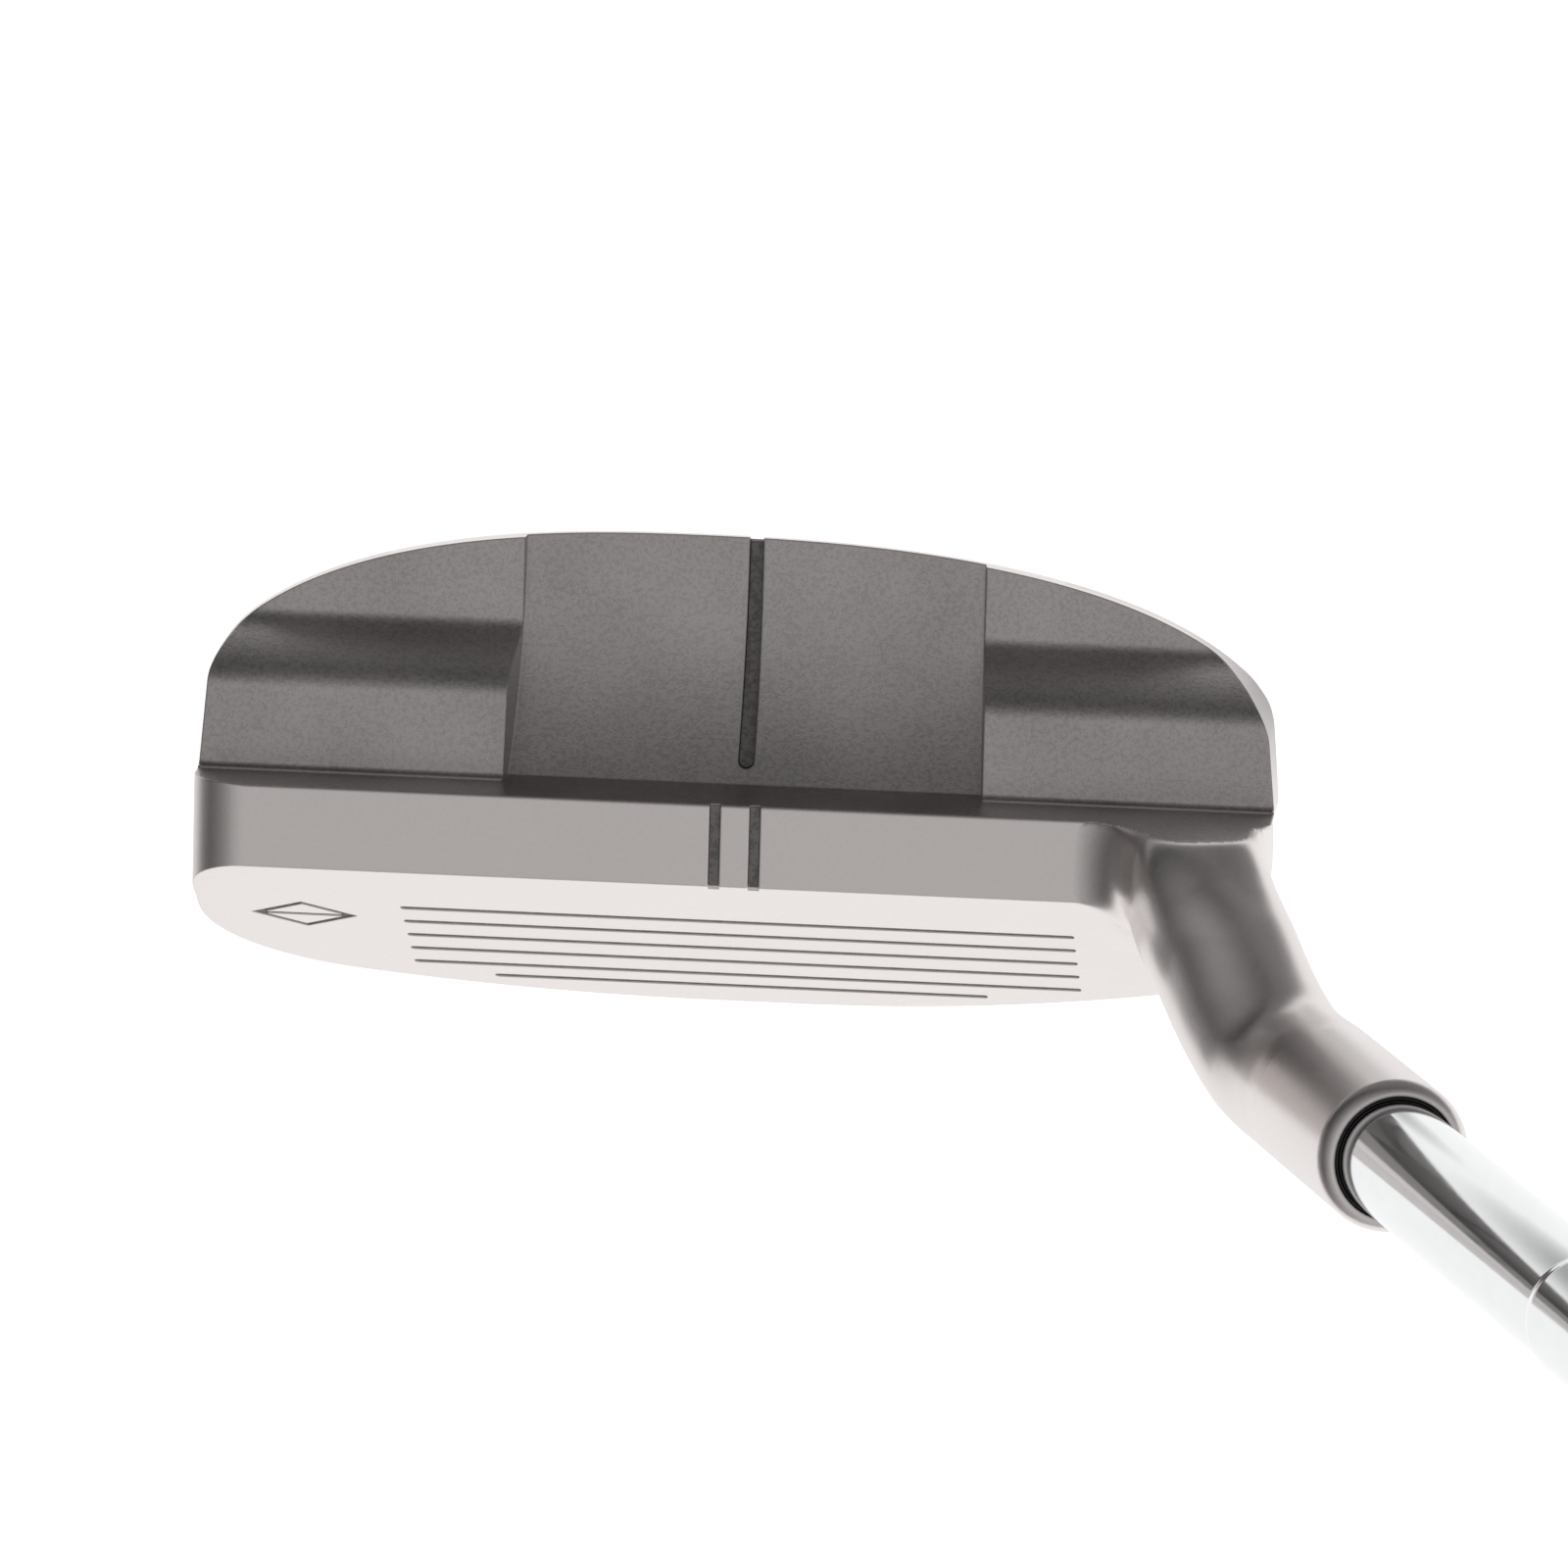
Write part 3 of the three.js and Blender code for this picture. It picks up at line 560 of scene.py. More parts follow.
def turned(name, profile, sides=128):
    """A closed turning. A profile point is its radius and its height along the axis."""
    closed = all(r > 1e-6 for r, _ in profile)
    turns = np.linspace(0, 2 * math.pi, sides, endpoint=False)
    spokes = np.outer(np.cos(turns), SIDE) + np.outer(np.sin(turns), FRONT)
    rings = [GROUND + AXIS * h + max(r, 0) * spokes for r, h in profile]
    points = np.vstack(rings)
    faces = []
    last = len(profile) if closed else len(profile) - 1
    for r in range(last):
        s = (r + 1) % len(profile)
        for i in range(sides):
            j = (i + 1) % sides
            faces.append((r * sides + i, r * sides + j, s * sides + j, s * sides + i))
    return new_object(name, points, faces)


print("lathe axis:", AXIS.round(3))

# %% Turn the hosel and bore it
BORE, BORE_DEPTH, CHAMFER, OVERLAP = 5.0, 26, 0.12, 19
rolled = bezier([(6.2, -1.4), (6.12, -0.6), (5.7, -0.14), (5.32, 0)], 16)
rim = [(r, MOUTH_AT + h) for r, h in rolled]
wall = [(HOSEL, MOUTH_AT - h) for h in range(OVERLAP, 1, -2)]
socket = [(0, MOUTH_AT - OVERLAP)] + wall
combine(head, turned("hosel", socket + rim + [(0, MOUTH_AT)]), "UNION")
bore = [(0, MOUTH_AT - BORE_DEPTH), (BORE, MOUTH_AT - BORE_DEPTH)]
bore += [(BORE, MOUTH_AT - CHAMFER)]
bore += [(BORE + CHAMFER, MOUTH_AT), (BORE + CHAMFER, MOUTH_AT + 1), (0, MOUTH_AT + 1)]
combine(head, turned("bore", bore), "DIFFERENCE")
print("head with its neck:", len(head.data.polygons), "faces")

# %% [markdown]
# ## Grooves for the paint
#
# Score lines on the face, two marks on the topline, one sight line down the panel and a
# plain lozenge near the toe are all shallow grooves with paint in them. The score lines and
# the front end of the sight line are milled with a round tool, so they end in half circles.
# The marks run right across the topline, and the lozenge has sharp corners. Each groove is
# a closed tool that a boolean takes away from the head.

# %% Score lines and topline marks
FACE_UP = np.array([0, math.sin(LOFT), math.cos(LOFT)])
FACE_OUT = np.array([0, -math.cos(LOFT), math.sin(LOFT)])


def on_face(x, down):
    """A placing function for outlines drawn on the face."""
    origin = np.array([x, 0, HEIGHT]) - down * FACE_UP
    return lambda u, v, w: origin + np.array([u, 0, 0]) + v * FACE_UP + w * FACE_OUT


def stadium(length, width):
    """A flat outline with round ends."""
    flat, r = length / 2 - width / 2, width / 2
    right = arc(flat, 0, r, -math.pi / 2, math.pi / 2, 8)
    left = arc(-flat, 0, r, math.pi / 2, 1.5 * math.pi, 8)
    return right + left


SCORE_WIDTH, SCORE_DEPTH, FIRST_LINE, LAST_GAP, FOOT_GAP = 0.75, 0.42, 9.04, 2.9, 6.03
MARK_AT, MARK_HALF, MARK_DEPTH = 1.63, 0.45, 0.5
short_down = HEIGHT / math.cos(LOFT) - FOOT_GAP
pitch = (short_down - LAST_GAP - FIRST_LINE) / 4
lines = [(-0.3, FIRST_LINE + i * pitch, 55.5) for i in range(5)] + [(-1.0, short_down, 41.1)]
for i, (x, down, length) in enumerate(lines):
    line = stadium(length, SCORE_WIDTH)
    tool = pushed(f"score_{i}", line, on_face(x, down), -SCORE_DEPTH, 1)
    combine(head, tool, "DIFFERENCE")

for side in (-1, 1):
    near, far = side * MARK_AT - MARK_HALF, side * MARK_AT + MARK_HALF
    outline = [(near, -1), (far, -1), (far, TOPLINE + 1), (near, TOPLINE + 1)]
    tool = pushed("mark", outline, upright, HEIGHT - MARK_DEPTH, HEIGHT + 1)
    combine(head, tool, "DIFFERENCE")
print("score lines:", len(lines), "pitch", round(pitch, 2), "mm")

# %% The sight line
SIGHT_FOOT, SIGHT_HALF, SIGHT_ROUND, SIGHT_DEPTH = 8.6, 0.57, 0.67, 1.1
slot = [(SIGHT_HALF, DEPTH + 1), (-SIGHT_HALF, DEPTH + 1)]
slot += arc(0, SIGHT_FOOT, SIGHT_ROUND, math.pi, 2 * math.pi, 16)
ys = np.linspace(7.2, DEPTH + 1, 50)
layer = [(y, panel_height(y) + 1) for y in ys]
layer += [(y, panel_height(y) - SIGHT_DEPTH) for y in ys[::-1]]
sight = pushed("sight", layer, across, -1.4, 1.4)
combine(sight, pushed("slot", slot, upright, 5, HEIGHT), "INTERSECT")
combine(head, sight, "DIFFERENCE")
print("sight line from", SIGHT_FOOT, "to", DEPTH)

# %% The lozenge near the toe
BADGE_REACH, BADGE_RISE, STROKE, BADGE_DEPTH = 4.4, 3.1, 0.5, 0.4


def lozenge(grow):
    """The lozenge, with every side moved outwards by the same distance."""
    slant = math.hypot(BADGE_REACH, BADGE_RISE)
    a = BADGE_REACH + grow * slant / BADGE_RISE
    b = BADGE_RISE + grow * slant / BADGE_REACH
    return [(a, 0), (0, b), (-a, 0), (0, -b)]


on_badge = on_face(-36.2, 11.7)
badge = pushed("badge", lozenge(0), on_badge, -BADGE_DEPTH, 1)
combine(badge, pushed("inside", lozenge(-STROKE), on_badge, -1, 2), "DIFFERENCE")
reach, half = BADGE_REACH - STROKE, STROKE / 2
bar = [(-reach, -half), (reach, -half), (reach, half), (-reach, half)]
combine(badge, pushed("bar", bar, on_badge, -BADGE_DEPTH, 1), "UNION")
combine(head, badge, "DIFFERENCE")
print("head finished:", len(head.data.polygons), "faces")

# %% [markdown]
# ## Zones of finish on one casting
#
# The casting carries two finishes: the rear is masked and blasted with beads until it is
# dark and grainy, and the rest is satin steel. Each face is sorted by where it lies and
# where it looks, so the border between finishes is a crisp line, as masking leaves it.

# %% Scale to metres and sort the faces
def settle(piece, smooth_angle=32):
    """Scales a piece to metres, and keeps only its real edges sharp."""
    piece.data.transform(Matrix.Scale(MM, 4))
    piece.data.polygons.foreach_set("use_smooth", [True] * len(piece.data.polygons))
    piece.data.set_sharp_from_angle(angle=math.radians(smooth_angle))
    weighted = piece.modifiers.new("even shading", "WEIGHTED_NORMAL")
    weighted.keep_sharp = True
    weighted.weight = 100


def sort_faces(mesh):
    """For each face, 0 for the satin finish or 1 for the blasted one."""
    zones = []
    for face in mesh.polygons:
        x, y, z = face.center
        nx, ny, nz = face.normal
        behind = y > TOPLINE - 0.05 and z > WALL_FOOT + 0.4
        inner_wall = abs(nx) > 0.5 and abs(x) < 20.6
        shown = nz > 0.12 or inner_wall or (ny > 0.9 and y < TOPLINE + 0.1)
        zones.append(1 if behind and shown and z < 40 else 0)
    return zones


zones = sort_faces(head.data)
print("satin faces:", zones.count(0), "blasted faces:", zones.count(1))
settle(head)
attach(head, "root")
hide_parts("head_casting")

# %% [markdown]
# ## Shared surface effects
#
# Three effects come back in several finishes. Grain is the tiny relief of blasting, lines
# are the marks of a brush or a belt that runs one way, and wear finds the edges by asking
# how much a rounded edge would change the direction of the surface.

# %% Node group helpers
def new_group(name, inputs, outputs):
    group = bpy.data.node_groups.new(name, "ShaderNodeTree")
    for label, kind, value in inputs:
        socket = group.interface.new_socket(label, in_out="INPUT", socket_type=kind)
        socket.default_value = value
    for label, kind in outputs:
        group.interface.new_socket(label, in_out="OUTPUT", socket_type=kind)
    start = group.nodes.new("NodeGroupInput")
    stop = group.nodes.new("NodeGroupOutput")
    return group, start, stop


def node(tree, kind, **values):
    made = tree.nodes.new("ShaderNode" + kind)
    for key, value in values.items():
        setattr(made, key, value)
    return made


def math_node(tree, operation, a, b):
    """A sum or a product of two numbers or sockets."""
    made = node(tree, "Math", operation=operation)
    for socket, value in zip(made.inputs, (a, b)):
        if isinstance(value, (int, float)):
            socket.default_value = value
        else:
            tree.links.new(value, socket)
    return made.outputs[0]


def ramp(tree, factor, stops):
    """Maps a value through grey levels: stops are (position, level)."""
    made = node(tree, "ValToRGB")
    band = made.color_ramp
    while len(band.elements) > 1:
        band.elements.remove(band.elements[0])
    band.elements[0].position, level = stops[0]
    band.elements[0].color = (level, level, level, 1)
    for position, level in stops[1:]:
        band.elements.new(position).color = (level, level, level, 1)
    tree.links.new(factor, made.inputs[0])
    return made.outputs[0]

# %% [markdown]
# ## The three groups
#
# Grain adds two sizes of noise for its height and uses the same sum for its speckle, so the
# pits are also darker. Lines are noise squeezed along one direction. Wear compares the true
# normal with one that a small bevel has rounded: they differ only close to an edge.

# %% Grain
FINE, COARSE, BROAD = 6200.0, 2600.0, 90.0


def make_grain():
    """Blasted grain: a height and a colour mask at two sizes, plus broad clouds."""
    inputs = [("Scale", "NodeSocketFloat", 1.0)]
    outputs = [(label, "NodeSocketFloat") for label in ("Height", "Speckle", "Cloud")]
    group, start, stop = new_group("blasted grain", inputs, outputs)
    spot = node(group, "TexCoord").outputs["Object"]
    fine = node(group, "TexNoise")
    coarse = node(group, "TexNoise")
    cloud = node(group, "TexNoise")
    for made, scale, detail in ((fine, FINE, 3), (coarse, COARSE, 2), (cloud, BROAD, 3)):
        group.links.new(spot, made.inputs["Vector"])
        made.inputs["Detail"].default_value = detail
        size = math_node(group, "MULTIPLY", start.outputs["Scale"], scale)
        group.links.new(size, made.inputs["Scale"])
    mixed = math_node(group, "ADD", fine.outputs[0], coarse.outputs[0])
    group.links.new(mixed, stop.inputs["Height"])
    speckle = ramp(group, mixed, [(0.78, 0), (1.0, 0.5), (1.22, 1)])
    group.links.new(speckle, stop.inputs["Speckle"])
    group.links.new(cloud.outputs[0], stop.inputs["Cloud"])
    return group


GRAIN = make_grain()
print("group:", GRAIN.name)

# %% Brushed lines
def make_lines():
    """Fine lines, longest where the stretch is smallest."""
    inputs = [("Stretch", "NodeSocketVector", (60, 2600, 2600))]
    outputs = [("Height", "NodeSocketFloat"), ("Streak", "NodeSocketFloat")]
    group, start, stop = new_group("brushed lines", inputs, outputs)
    spot = node(group, "TexCoord").outputs["Object"]
    scaled = node(group, "VectorMath", operation="MULTIPLY")
    group.links.new(spot, scaled.inputs[0])
    group.links.new(start.outputs["Stretch"], scaled.inputs[1])
    noise = node(group, "TexNoise")
    noise.inputs["Scale"].default_value = 1.0
    noise.inputs["Detail"].default_value = 3.0
    group.links.new(scaled.outputs[0], noise.inputs["Vector"])
    group.links.new(noise.outputs[0], stop.inputs["Height"])
    streak = ramp(group, noise.outputs[0], [(0.3, 0), (0.7, 1)])
    group.links.new(streak, stop.inputs["Streak"])
    return group


LINES = make_lines()
print("group:", LINES.name)

# %% Edge wear
WORN_EDGE, ROUNDED_EDGE = 0.28 * MM, 0.25 * MM


def make_wear():
    """A mask that rises to 1 on the edges."""
    inputs = [("Sharpness", "NodeSocketFloat", 8.0)]
    outputs = [("Edge", "NodeSocketFloat")]
    group, start, stop = new_group("edge wear", inputs, outputs)
    rounded = node(group, "Bevel", samples=6)
    rounded.inputs["Radius"].default_value = WORN_EDGE
    true = node(group, "NewGeometry")
    dot = node(group, "VectorMath", operation="DOT_PRODUCT")
    group.links.new(rounded.outputs[0], dot.inputs[0])
    group.links.new(true.outputs["Normal"], dot.inputs[1])
    bent = math_node(group, "SUBTRACT", 1.0, dot.outputs["Value"])
    grown = math_node(group, "MULTIPLY", bent, start.outputs["Sharpness"])
    clamp = node(group, "Clamp")
    group.links.new(grown, clamp.inputs[0])
    group.links.new(clamp.outputs[0], stop.inputs["Edge"])
    return group


WEAR = make_wear()
print("group:", WEAR.name)

# %% [markdown]
# ## Metal finishes
#
# Every metal here is a Principled shader with full Metallic. What makes one steel look
# satin and the next look blasted is only its colour, its roughness and its relief, so one
# helper builds them all and each finish passes its own numbers. Matt pieces such as paint,
# glue and rubber are not metallic, and share a second, simpler helper further down.

# %% Helpers for materials
def use_group(tree, group, **values):
    made = tree.nodes.new("ShaderNodeGroup")
    made.node_tree = group
    for key, value in values.items():
        made.inputs[key].default_value = value
    return made


def blend_colour(tree, factor, dark, light):
    made = node(tree, "Mix", data_type="RGBA")
    for place, value in ((0, factor), (6, dark), (7, light)):
        if isinstance(value, tuple):
            made.inputs[place].default_value = value
        else:
            tree.links.new(value, made.inputs[place])
    return made.outputs[2]


def grey(level, warm=1.0):
    """A nearly neutral metal colour with a slight warm cast."""
    return (level * (1 + 0.065 * warm), level, level * (1 - 0.02 * warm), 1)


def new_material(name):
    made = bpy.data.materials.new(name)
    made.use_nodes = True
    return made, made.node_tree, made.node_tree.nodes["Principled BSDF"]


def vary_roughness(tree, shader, factor, rough, spread):
    """Roughness between rough - spread and rough + spread, led by a mask."""
    span = node(tree, "MapRange")
    span.inputs["To Min"].default_value = rough - spread
    span.inputs["To Max"].default_value = rough + spread
    tree.links.new(factor, span.inputs["Value"])
    tree.links.new(span.outputs[0], shader.inputs["Roughness"])


def relieve(tree, shader, height, strength, depth):
    """A bump of the given depth in millimetres."""
    bump = node(tree, "Bump")
    bump.inputs["Strength"].default_value = strength
    bump.inputs["Distance"].default_value = depth * MM
    tree.links.new(height, bump.inputs["Height"])
    tree.links.new(bump.outputs[0], shader.inputs["Normal"])
    return bump

# %% Satin and blasted steel
def metal(name, dark, light, rough, spread, relief, grain=1.0, lines=None, worn=None):
    """A grained metal, with brushed lines or worn edges where they are asked for."""
    made, tree, shader = new_material(name)
    shader.inputs["Metallic"].default_value = 1.0
    grained = use_group(tree, GRAIN, Scale=grain)
    mask, height = grained.outputs["Speckle"], grained.outputs["Height"]
    if lines:
        brushed = use_group(tree, LINES, Stretch=lines)
        mask, height = brushed.outputs["Streak"], brushed.outputs["Height"]
    cloud = ramp(tree, grained.outputs["Cloud"], [(0.3, 0), (0.7, 1)])
    both = math_node(tree, "MULTIPLY", math_node(tree, "ADD", mask, cloud), 0.5)
    colour = blend_colour(tree, both, dark, light)
    if worn:
        edge = use_group(tree, WEAR)
        colour = blend_colour(tree, edge.outputs["Edge"], colour, worn)
    tree.links.new(colour, shader.inputs["Base Color"])
    vary_roughness(tree, shader, both, rough, spread)
    bump = relieve(tree, shader, height, relief, 0.02)
    rounded = node(tree, "Bevel", samples=6)
    rounded.inputs["Radius"].default_value = ROUNDED_EDGE
    tree.links.new(rounded.outputs[0], bump.inputs["Normal"])
    return made


satin = metal("satin_steel", grey(0.73), grey(0.78), 0.3, 0.03, 0.25, worn=grey(0.86))
blasted = metal("blasted_steel", grey(0.36), grey(0.56), 0.36, 0.05, 0.9, worn=grey(0.5))
head.data.materials.clear()
for finish in (satin, blasted):
    head.data.materials.append(finish)
head.data.polygons.foreach_set("material_index", zones)
print("finishes on the head:", [finish.name for finish in head.data.materials])

# %% [markdown]
# ## Paint in the grooves
#
# The grooves are filled by hand with dark enamel. It shrinks as it dries, so it lies below
# the metal and keeps a soft, slightly uneven skin. The fills keep the model's own solids.

# %% The matt helper, and enamel on the fills
def matt(name, dark, light, rough, spread, grain, relief, depth):
    """Paint, glue or rubber: speckled, with an even or a cloudy sheen."""
    made, tree, shader = new_material(name)
    grained = use_group(tree, GRAIN, Scale=grain)
    colour = blend_colour(tree, grained.outputs["Speckle"], dark + (1,), light + (1,))
    tree.links.new(colour, shader.inputs["Base Color"])
    if spread:
        vary_roughness(tree, shader, grained.outputs["Cloud"], rough, spread)
    else:
        shader.inputs["Roughness"].default_value = rough
    relieve(tree, shader, grained.outputs["Height"], relief, depth)
    return made


enamel = matt("groove_enamel", (0.12, 0.11, 0.107), (0.2, 0.185, 0.18), 0.42, 0, 0.5, 0.4, 0.03)
fills = [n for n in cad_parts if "fill" in n]
for name in fills:
    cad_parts[name].data.materials.clear()
    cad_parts[name].data.materials.append(enamel)
print("painted fills:", len(fills))

# %% [markdown]
# ## The shaft
#
# A steel putter shaft is drawn down in steps, each a little wider than the one below, then
# plated with chrome. Every step is a short cone with soft shoulders, which shows as a
# bright arc. The tube is open inside and its tip is buried in the hosel.

# %% Turn the shaft
TIP_R, BUTT_R, STEPS, FIRST, STEP_PITCH, CONE, WALL = 4.7, 7.62, 14, 50.0, 38.0, 1.6, 0.55
rise = (BUTT_R - TIP_R) / STEPS
outside = [(TIP_R, TIP_AT), (TIP_R, TIP_AT + 2)]
for i in range(STEPS):
    foot = MOUTH_AT + FIRST + i * STEP_PITCH
    r = TIP_R + i * rise
    for share_up in np.linspace(0, 1, 9):
        swell = share_up * share_up * (3 - 2 * share_up)
        outside.append((r + rise * swell, foot + CONE * share_up))
outside += [(BUTT_R, BUTT_AT - 1), (BUTT_R, BUTT_AT)]
last_step = MOUTH_AT + FIRST + (STEPS - 1) * STEP_PITCH
inside = [(BUTT_R - WALL, BUTT_AT), (BUTT_R - WALL, last_step + 2 * CONE)]
inside += [(TIP_R - WALL, MOUTH_AT + FIRST - CONE), (TIP_R - WALL, TIP_AT)]
shaft = turned("shaft_tube", outside + inside)

chrome = metal(
    "shaft_chrome", grey(0.80, -0.3), grey(0.86, -0.3), 0.07, 0.025, 0.05, 0.35,
    lines=(900.0, 900.0, 60.0),
)
shaft.data.materials.append(chrome)
settle(shaft, 40)
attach(shaft, "root")
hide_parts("shaft")
print("shaft:", STEPS, "steps,", len(shaft.data.polygons), "faces")

# %% [markdown]
# ## The ring of glue
#
# The shaft is bonded into the bore with black epoxy, and a thin ring of it shows around
# the shaft at the mouth of the hosel. It is turned with a soft, slightly domed top.

# %% Turn the glue ring
GAP = 0.07
low_r, high_r = TIP_R + GAP, BORE - GAP
lip = [(high_r, MOUTH_AT - 0.5), (high_r, MOUTH_AT - 0.32)]
crown = bezier([lip[1], (high_r - 0.02, MOUTH_AT - 0.18), (low_r, MOUTH_AT - 0.2)], 10)
foot = [(low_r, TIP_AT + 1), (high_r, TIP_AT + 1)]
glue = turned("glue_ring", foot + lip + crown[1:])
epoxy = matt("black_epoxy", (0.008, 0.008, 0.009), (0.02, 0.019, 0.018), 0.38, 0, 0.25, 0.5, 0.05)
glue.data.materials.append(epoxy)
settle(glue, 40)
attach(glue, "root")
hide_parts("shaft_adhesive")
print("glue ring:", len(glue.data.polygons), "faces")

# %% [markdown]
# ## The grip
#
# The grip is a moulded rubber sleeve pulled over double-sided tape. It carries bands of
# shallow rings all round, so that the hands do not slip. The relief is real: each ring of
# vertices is drawn in by a fraction of a millimetre.

# %% Turn the grip
CLUB, GRIP_LENGTH, TAPE, PLAY = 889, 267.0, 0.14, 0.05
GRIP_MOUTH, GRIP_END = CLUB - GRIP_LENGTH, BUTT_AT - 0.3
INNER = BUTT_R + PLAY + TAPE + PLAY
PLAIN_FOOT, PLAIN_TOP, RING, BAND, RINGED, RING_DEPTH = 14, 12, 2.4, 30, 21.6, 0.22
MOUTH_R, GRIP_R, CAP_R, FLARE = INNER + 1.04, INNER + 5.04, INNER + 6.34, 9.0
flare_at = BUTT_AT - FLARE


def grip_radius(h):
    """An even taper that flares at the top."""
    if h < flare_at:
        share = (h - GRIP_MOUTH) / (flare_at - GRIP_MOUTH)
        return MOUTH_R + (GRIP_R - MOUTH_R) * share
    share = (h - flare_at) / (GRIP_END - flare_at)
    return GRIP_R + (CAP_R - GRIP_R) * share


def ribbed(h):
    """How deep the rings are at a height: bands of fine rings between plain bands."""
    up = h - GRIP_MOUTH
    ringed = (up - PLAIN_FOOT) % BAND < RINGED
    if up < PLAIN_FOOT or h > flare_at - PLAIN_TOP or not ringed:
        return 0.0
    return RING_DEPTH * (0.5 - 0.5 * math.cos(2 * math.pi * up / RING))


lip = arc(MOUTH_R - 0.6, GRIP_MOUTH + 0.6, 0.6, -math.pi / 2, 0, 6)
heights = np.arange(GRIP_MOUTH + 1.0, GRIP_END - 0.8, 0.3)
body = [(grip_radius(h) - ribbed(h), h) for h in heights]
top = arc(CAP_R - 0.5, GRIP_END - 0.5, 0.5, 0, math.pi / 2, 5)
sleeve = [(INNER, GRIP_MOUTH)] + lip + body + top + [(INNER, GRIP_END)]
grip = turned("grip_sleeve", sleeve, 96)
black, worn_black = (0.012, 0.012, 0.012), (0.026, 0.025, 0.024)
rubber = matt("grip_rubber", black, worn_black, 0.72, 0.08, 0.4, 0.7, 0.06)
grip.data.materials.append(rubber)
settle(grip, 50)
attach(grip, "root")
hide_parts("grip")
print("grip:", len(grip.data.polygons), "faces")

# %% [markdown]
# ## The end cap
#
# A separate rubber cap plugs the end of the shaft, with a flange as wide as the grip. Its
# top has a shallow dish and a vent hole that lets air out when the grip is pulled on. It
# is one more turning, a little smoother and glossier than the sleeve.

# %% Turn the cap
VENT, DISH, PLUG_LENGTH, CAP_EDGE = 1.5, CLUB - 0.4, 8, 1.2
cap_base = GRIP_END + 0.6
plug, plug_end = BUTT_R - WALL - 0.2, BUTT_AT - PLUG_LENGTH
profile = [(VENT, plug_end), (plug - 0.3, plug_end), (plug, plug_end + 0.3), (plug, cap_base)]
profile += arc(CAP_R - 0.35, cap_base + 0.35, 0.35, -math.pi / 2, 0, 4)
profile += arc(CAP_R - CAP_EDGE, CLUB - CAP_EDGE, CAP_EDGE, 0, math.pi / 2, 10)
profile += [(CAP_R - 4.0, CLUB), (CAP_R - 4.4, DISH), (3.2, DISH), (2.8, CLUB)]
profile += [(VENT + 0.2, CLUB), (VENT, CLUB - 0.2)]
cap = turned("end_cap", profile, 96)
soft = matt("cap_rubber", (0.014, 0.014, 0.014), (0.03, 0.029, 0.028), 0.5, 0.08, 0.4, 0.4, 0.06)
cap.data.materials.append(soft)
settle(cap, 40)
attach(cap, "root")
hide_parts("grip_cap")
print("cap:", len(cap.data.polygons), "faces")

# %% [markdown]
# ## The tape
#
# The tape hardly shows, only as a thin edge at the mouth of the grip. It keeps the model's
# own solid and gets a woven look from the group of lines, stretched alike in two directions.

# %% Tape under the grip
tape, tree, shader = new_material("grip_tape_cloth")
woven = use_group(tree, LINES, Stretch=(1500.0, 1500.0, 3000.0))
colour = blend_colour(tree, woven.outputs["Streak"], (0.42, 0.36, 0.26, 1), (0.62, 0.56, 0.43, 1))
tree.links.new(colour, shader.inputs["Base Color"])
shader.inputs["Roughness"].default_value = 0.85
relieve(tree, shader, woven.outputs["Height"], 1.0, 0.05)
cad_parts["grip_tape"].data.materials.clear()
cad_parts["grip_tape"].data.materials.append(tape)
print("tape: its own solid,", len(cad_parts["grip_tape"].data.polygons), "faces")

# %% [markdown]
# ## The floor
#
# Bright metal is only as good as what it mirrors. To the camera the floor is plain white
# paper. What the metal mirrors of it is another matter: a photographer lays white card in
# front of the club and lets the table behind it and beside the toe fall dark. Light Path
# tells the two apart, and the card is a glow that fades with the place on the floor. Beside
# the hosel the glow is darkened in a round patch, a painted shadow of the head on the paper.

# %% The white paper
FLOOR_HALF = 6.0
a = FLOOR_HALF
floor_mesh = bpy.data.meshes.new("floor")
floor_mesh.from_pydata([(-a, -a, 0), (a, -a, 0), (a, a, 0), (-a, a, 0)], [], [(0, 1, 2, 3)])
floor = bpy.data.objects.new("floor", floor_mesh)
bpy.context.scene.collection.objects.link(floor)
paper, tree, shader = new_material("white_paper")
shader.inputs["Base Color"].default_value = (0.9, 0.9, 0.9, 1)
shader.inputs["Roughness"].default_value = 0.95
shader.inputs["Emission Color"].default_value = (1, 1, 1, 1)
shader.inputs["Emission Strength"].default_value = 0.74
floor.data.materials.append(paper)
print("floor:", 2 * FLOOR_HALF, "m across")

# %% The card that the metal mirrors, with a painted shadow beside the hosel
# The centre of the painted shadow on the card, beside the hosel.
HOSEL_SHADOW_SPOT = (0.044, 0.014, 0)
CARD_START, CARD_END = 0.03, 0.08


def fade(value, start, stop, low=0.0):
    """Maps a range of places to low..1."""
    made = node(tree, "MapRange")
    made.inputs["From Min"].default_value = start
    made.inputs["From Max"].default_value = stop
    made.inputs["To Min"].default_value = low
    tree.links.new(value, made.inputs["Value"])
    return made.outputs[0]


spot = node(tree, "NewGeometry").outputs["Position"]
floor_parts = node(tree, "SeparateXYZ")
tree.links.new(spot, floor_parts.inputs[0])
behind = fade(floor_parts.outputs["Y"], CARD_START, CARD_END)
card = ramp(tree, behind, [(0.0, 1.0), (0.2, 0.62), (0.4, 0.22), (1.0, 0.16)])
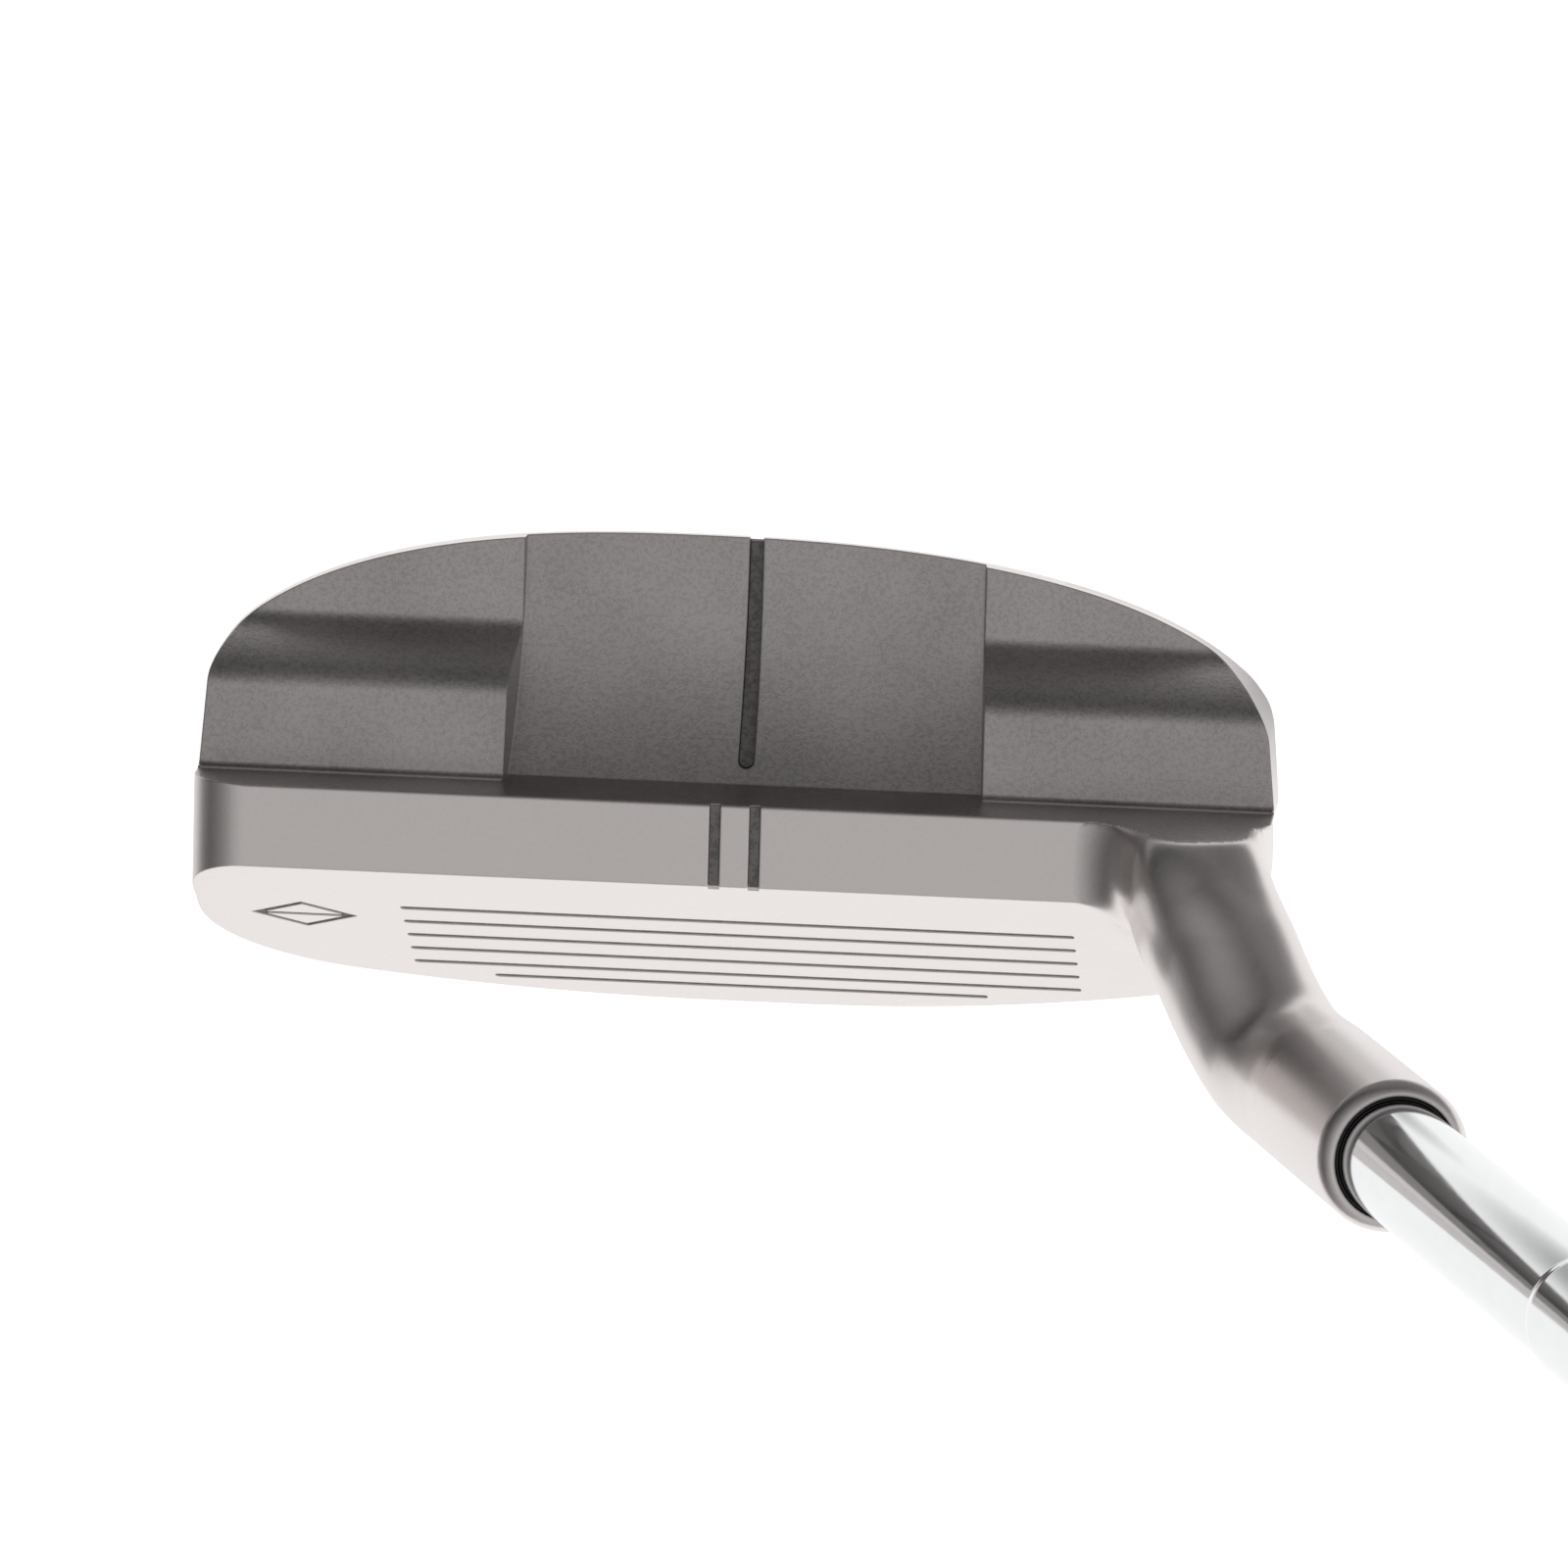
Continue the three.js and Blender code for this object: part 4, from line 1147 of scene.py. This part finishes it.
# Painted shadow: near that spot the glow drops to 0.42 of its level, and it stands for the head's
# shade on the paper.
to_shadow_spot = node(tree, "VectorMath", operation="SUBTRACT")
to_shadow_spot.inputs[1].default_value = HOSEL_SHADOW_SPOT
tree.links.new(spot, to_shadow_spot.inputs[0])
shadow_spot_distance = node(tree, "VectorMath", operation="LENGTH")
tree.links.new(to_shadow_spot.outputs[0], shadow_spot_distance.inputs[0])
near = math_node(tree, "MULTIPLY", shadow_spot_distance.outputs["Value"], 50.0)
card = math_node(tree, "MULTIPLY", card, ramp(tree, near, [(0.1, 0.42), (0.6, 1.0)]))
card = math_node(tree, "MULTIPLY", card, fade(floor_parts.outputs["X"], -0.11, -0.05, 0.2))
glow = node(tree, "Emission")
glow.inputs["Strength"].default_value = 1.03
tree.links.new(card, glow.inputs["Color"])
choose = node(tree, "MixShader")
seen = node(tree, "LightPath").outputs["Is Camera Ray"]
for socket, value in zip(choose.inputs, (seen, glow.outputs[0], shader.outputs[0])):
    tree.links.new(value, socket)
tree.links.new(choose.outputs[0], tree.nodes["Material Output"].inputs[0])
print("the card is darkest from", CARD_END, "m behind the face")

# %% [markdown]
# ## The room
#
# The room is the other half of what the metal mirrors. It is one sphere of light with two
# sides, a dark one and a light one, each brighter high up than at the horizon. The light
# side lies to the right and in front, where a studio would hang its large soft box.

# %% The room's light
world = bpy.data.worlds.new("studio")
bpy.context.scene.world = world
world.use_nodes = True
tree = world.node_tree
tree.nodes.clear()
direction = node(tree, "SeparateXYZ")
tree.links.new(node(tree, "TexCoord").outputs["Generated"], direction.inputs[0])
DARK = [(0.0, 0.09), (0.2, 0.10), (0.5, 0.18), (0.71, 0.27), (0.88, 0.38), (0.97, 0.47)]
LIGHT = [(0.0, 0.42), (0.4, 0.50), (0.8, 0.60), (0.97, 0.66), (1.0, 0.56)]
dark_side = ramp(tree, direction.outputs["Z"], DARK)
light_side = ramp(tree, direction.outputs["Z"], LIGHT)
facing = math_node(tree, "SUBTRACT", direction.outputs["X"], direction.outputs["Y"])
turned_to = math_node(tree, "ADD", math_node(tree, "MULTIPLY", facing, 0.4), 0.5)
side = ramp(tree, turned_to, [(0.35, 0), (0.95, 1)])
back = node(tree, "Background")
tree.links.new(blend_colour(tree, side, dark_side, light_side), back.inputs["Color"])
out = node(tree, "OutputWorld")
tree.links.new(back.outputs[0], out.inputs[0])
print("room:", len(DARK), "dark and", len(LIGHT), "light levels")

# %% [markdown]
# ## Two soft lamps
#
# The lamps only lift the paint, the glue and the rubber. They are hidden from glossy rays,
# because a lamp mirrored in the chrome would show as a hard white shape.

# %% Soft lamps
def soft_light(name, spot, aim, width, height, power):
    lamp = bpy.data.lights.new(name, "AREA")
    lamp.shape = "RECTANGLE"
    lamp.size, lamp.size_y, lamp.energy = width, height, power
    holder = bpy.data.objects.new(name, lamp)
    bpy.context.scene.collection.objects.link(holder)
    holder.location = spot
    holder.visible_glossy = False
    look = Vector(aim) - Vector(spot)
    holder.rotation_euler = look.to_track_quat("-Z", "Y").to_euler()


HEAD_AT = (0, 0, 0.02)
soft_light("front_light", (0.1, -1.6, 1.2), HEAD_AT, 1.6, 0.8, 3)
soft_light("side_light", (1.6, 0.6, 1.4), HEAD_AT, 1.2, 0.8, 2)
print("lamps:", len(bpy.data.lights))

# %% [markdown]
# ## The camera
#
# The view is from almost straight above, a little behind the putter, with a long lens that
# keeps the lines nearly parallel. The camera is placed by a direction and a distance from
# a target on the head, and rolled by a small angle.

# %% Aim the camera
DISTANCE, ROLL, LENS = 1200, math.radians(2.5), 332.1
toward = np.array([0.08, 0.2102, 0.9744])
toward = toward / np.linalg.norm(toward)
target = np.array([1.85, 3.32, 1.83])
right0 = np.array([1.0, 0, 0]) - toward[0] * toward
right0 = right0 / np.linalg.norm(right0)
up0 = np.cross(toward, right0)
right = math.cos(ROLL) * right0 + math.sin(ROLL) * up0
up = -math.sin(ROLL) * right0 + math.cos(ROLL) * up0
lens = bpy.data.cameras.new("camera")
lens.lens, lens.sensor_width = LENS, 36.0
lens.clip_start, lens.clip_end = 0.05, 50
camera = bpy.data.objects.new("camera", lens)
bpy.context.scene.collection.objects.link(camera)
eye = (target + DISTANCE * toward) * MM
turn = Matrix((right, up, toward)).transposed().to_4x4()
camera.matrix_world = Matrix.Translation(Vector(eye)) @ turn
bpy.context.scene.camera = camera
bpy.context.scene.view_settings.view_transform = "Standard"
print("camera at", eye.round(4))

# %% [markdown]
# ## Finish
#
# Last, the view layer is brought up to date.

# %% Finish
bpy.context.view_layer.update()
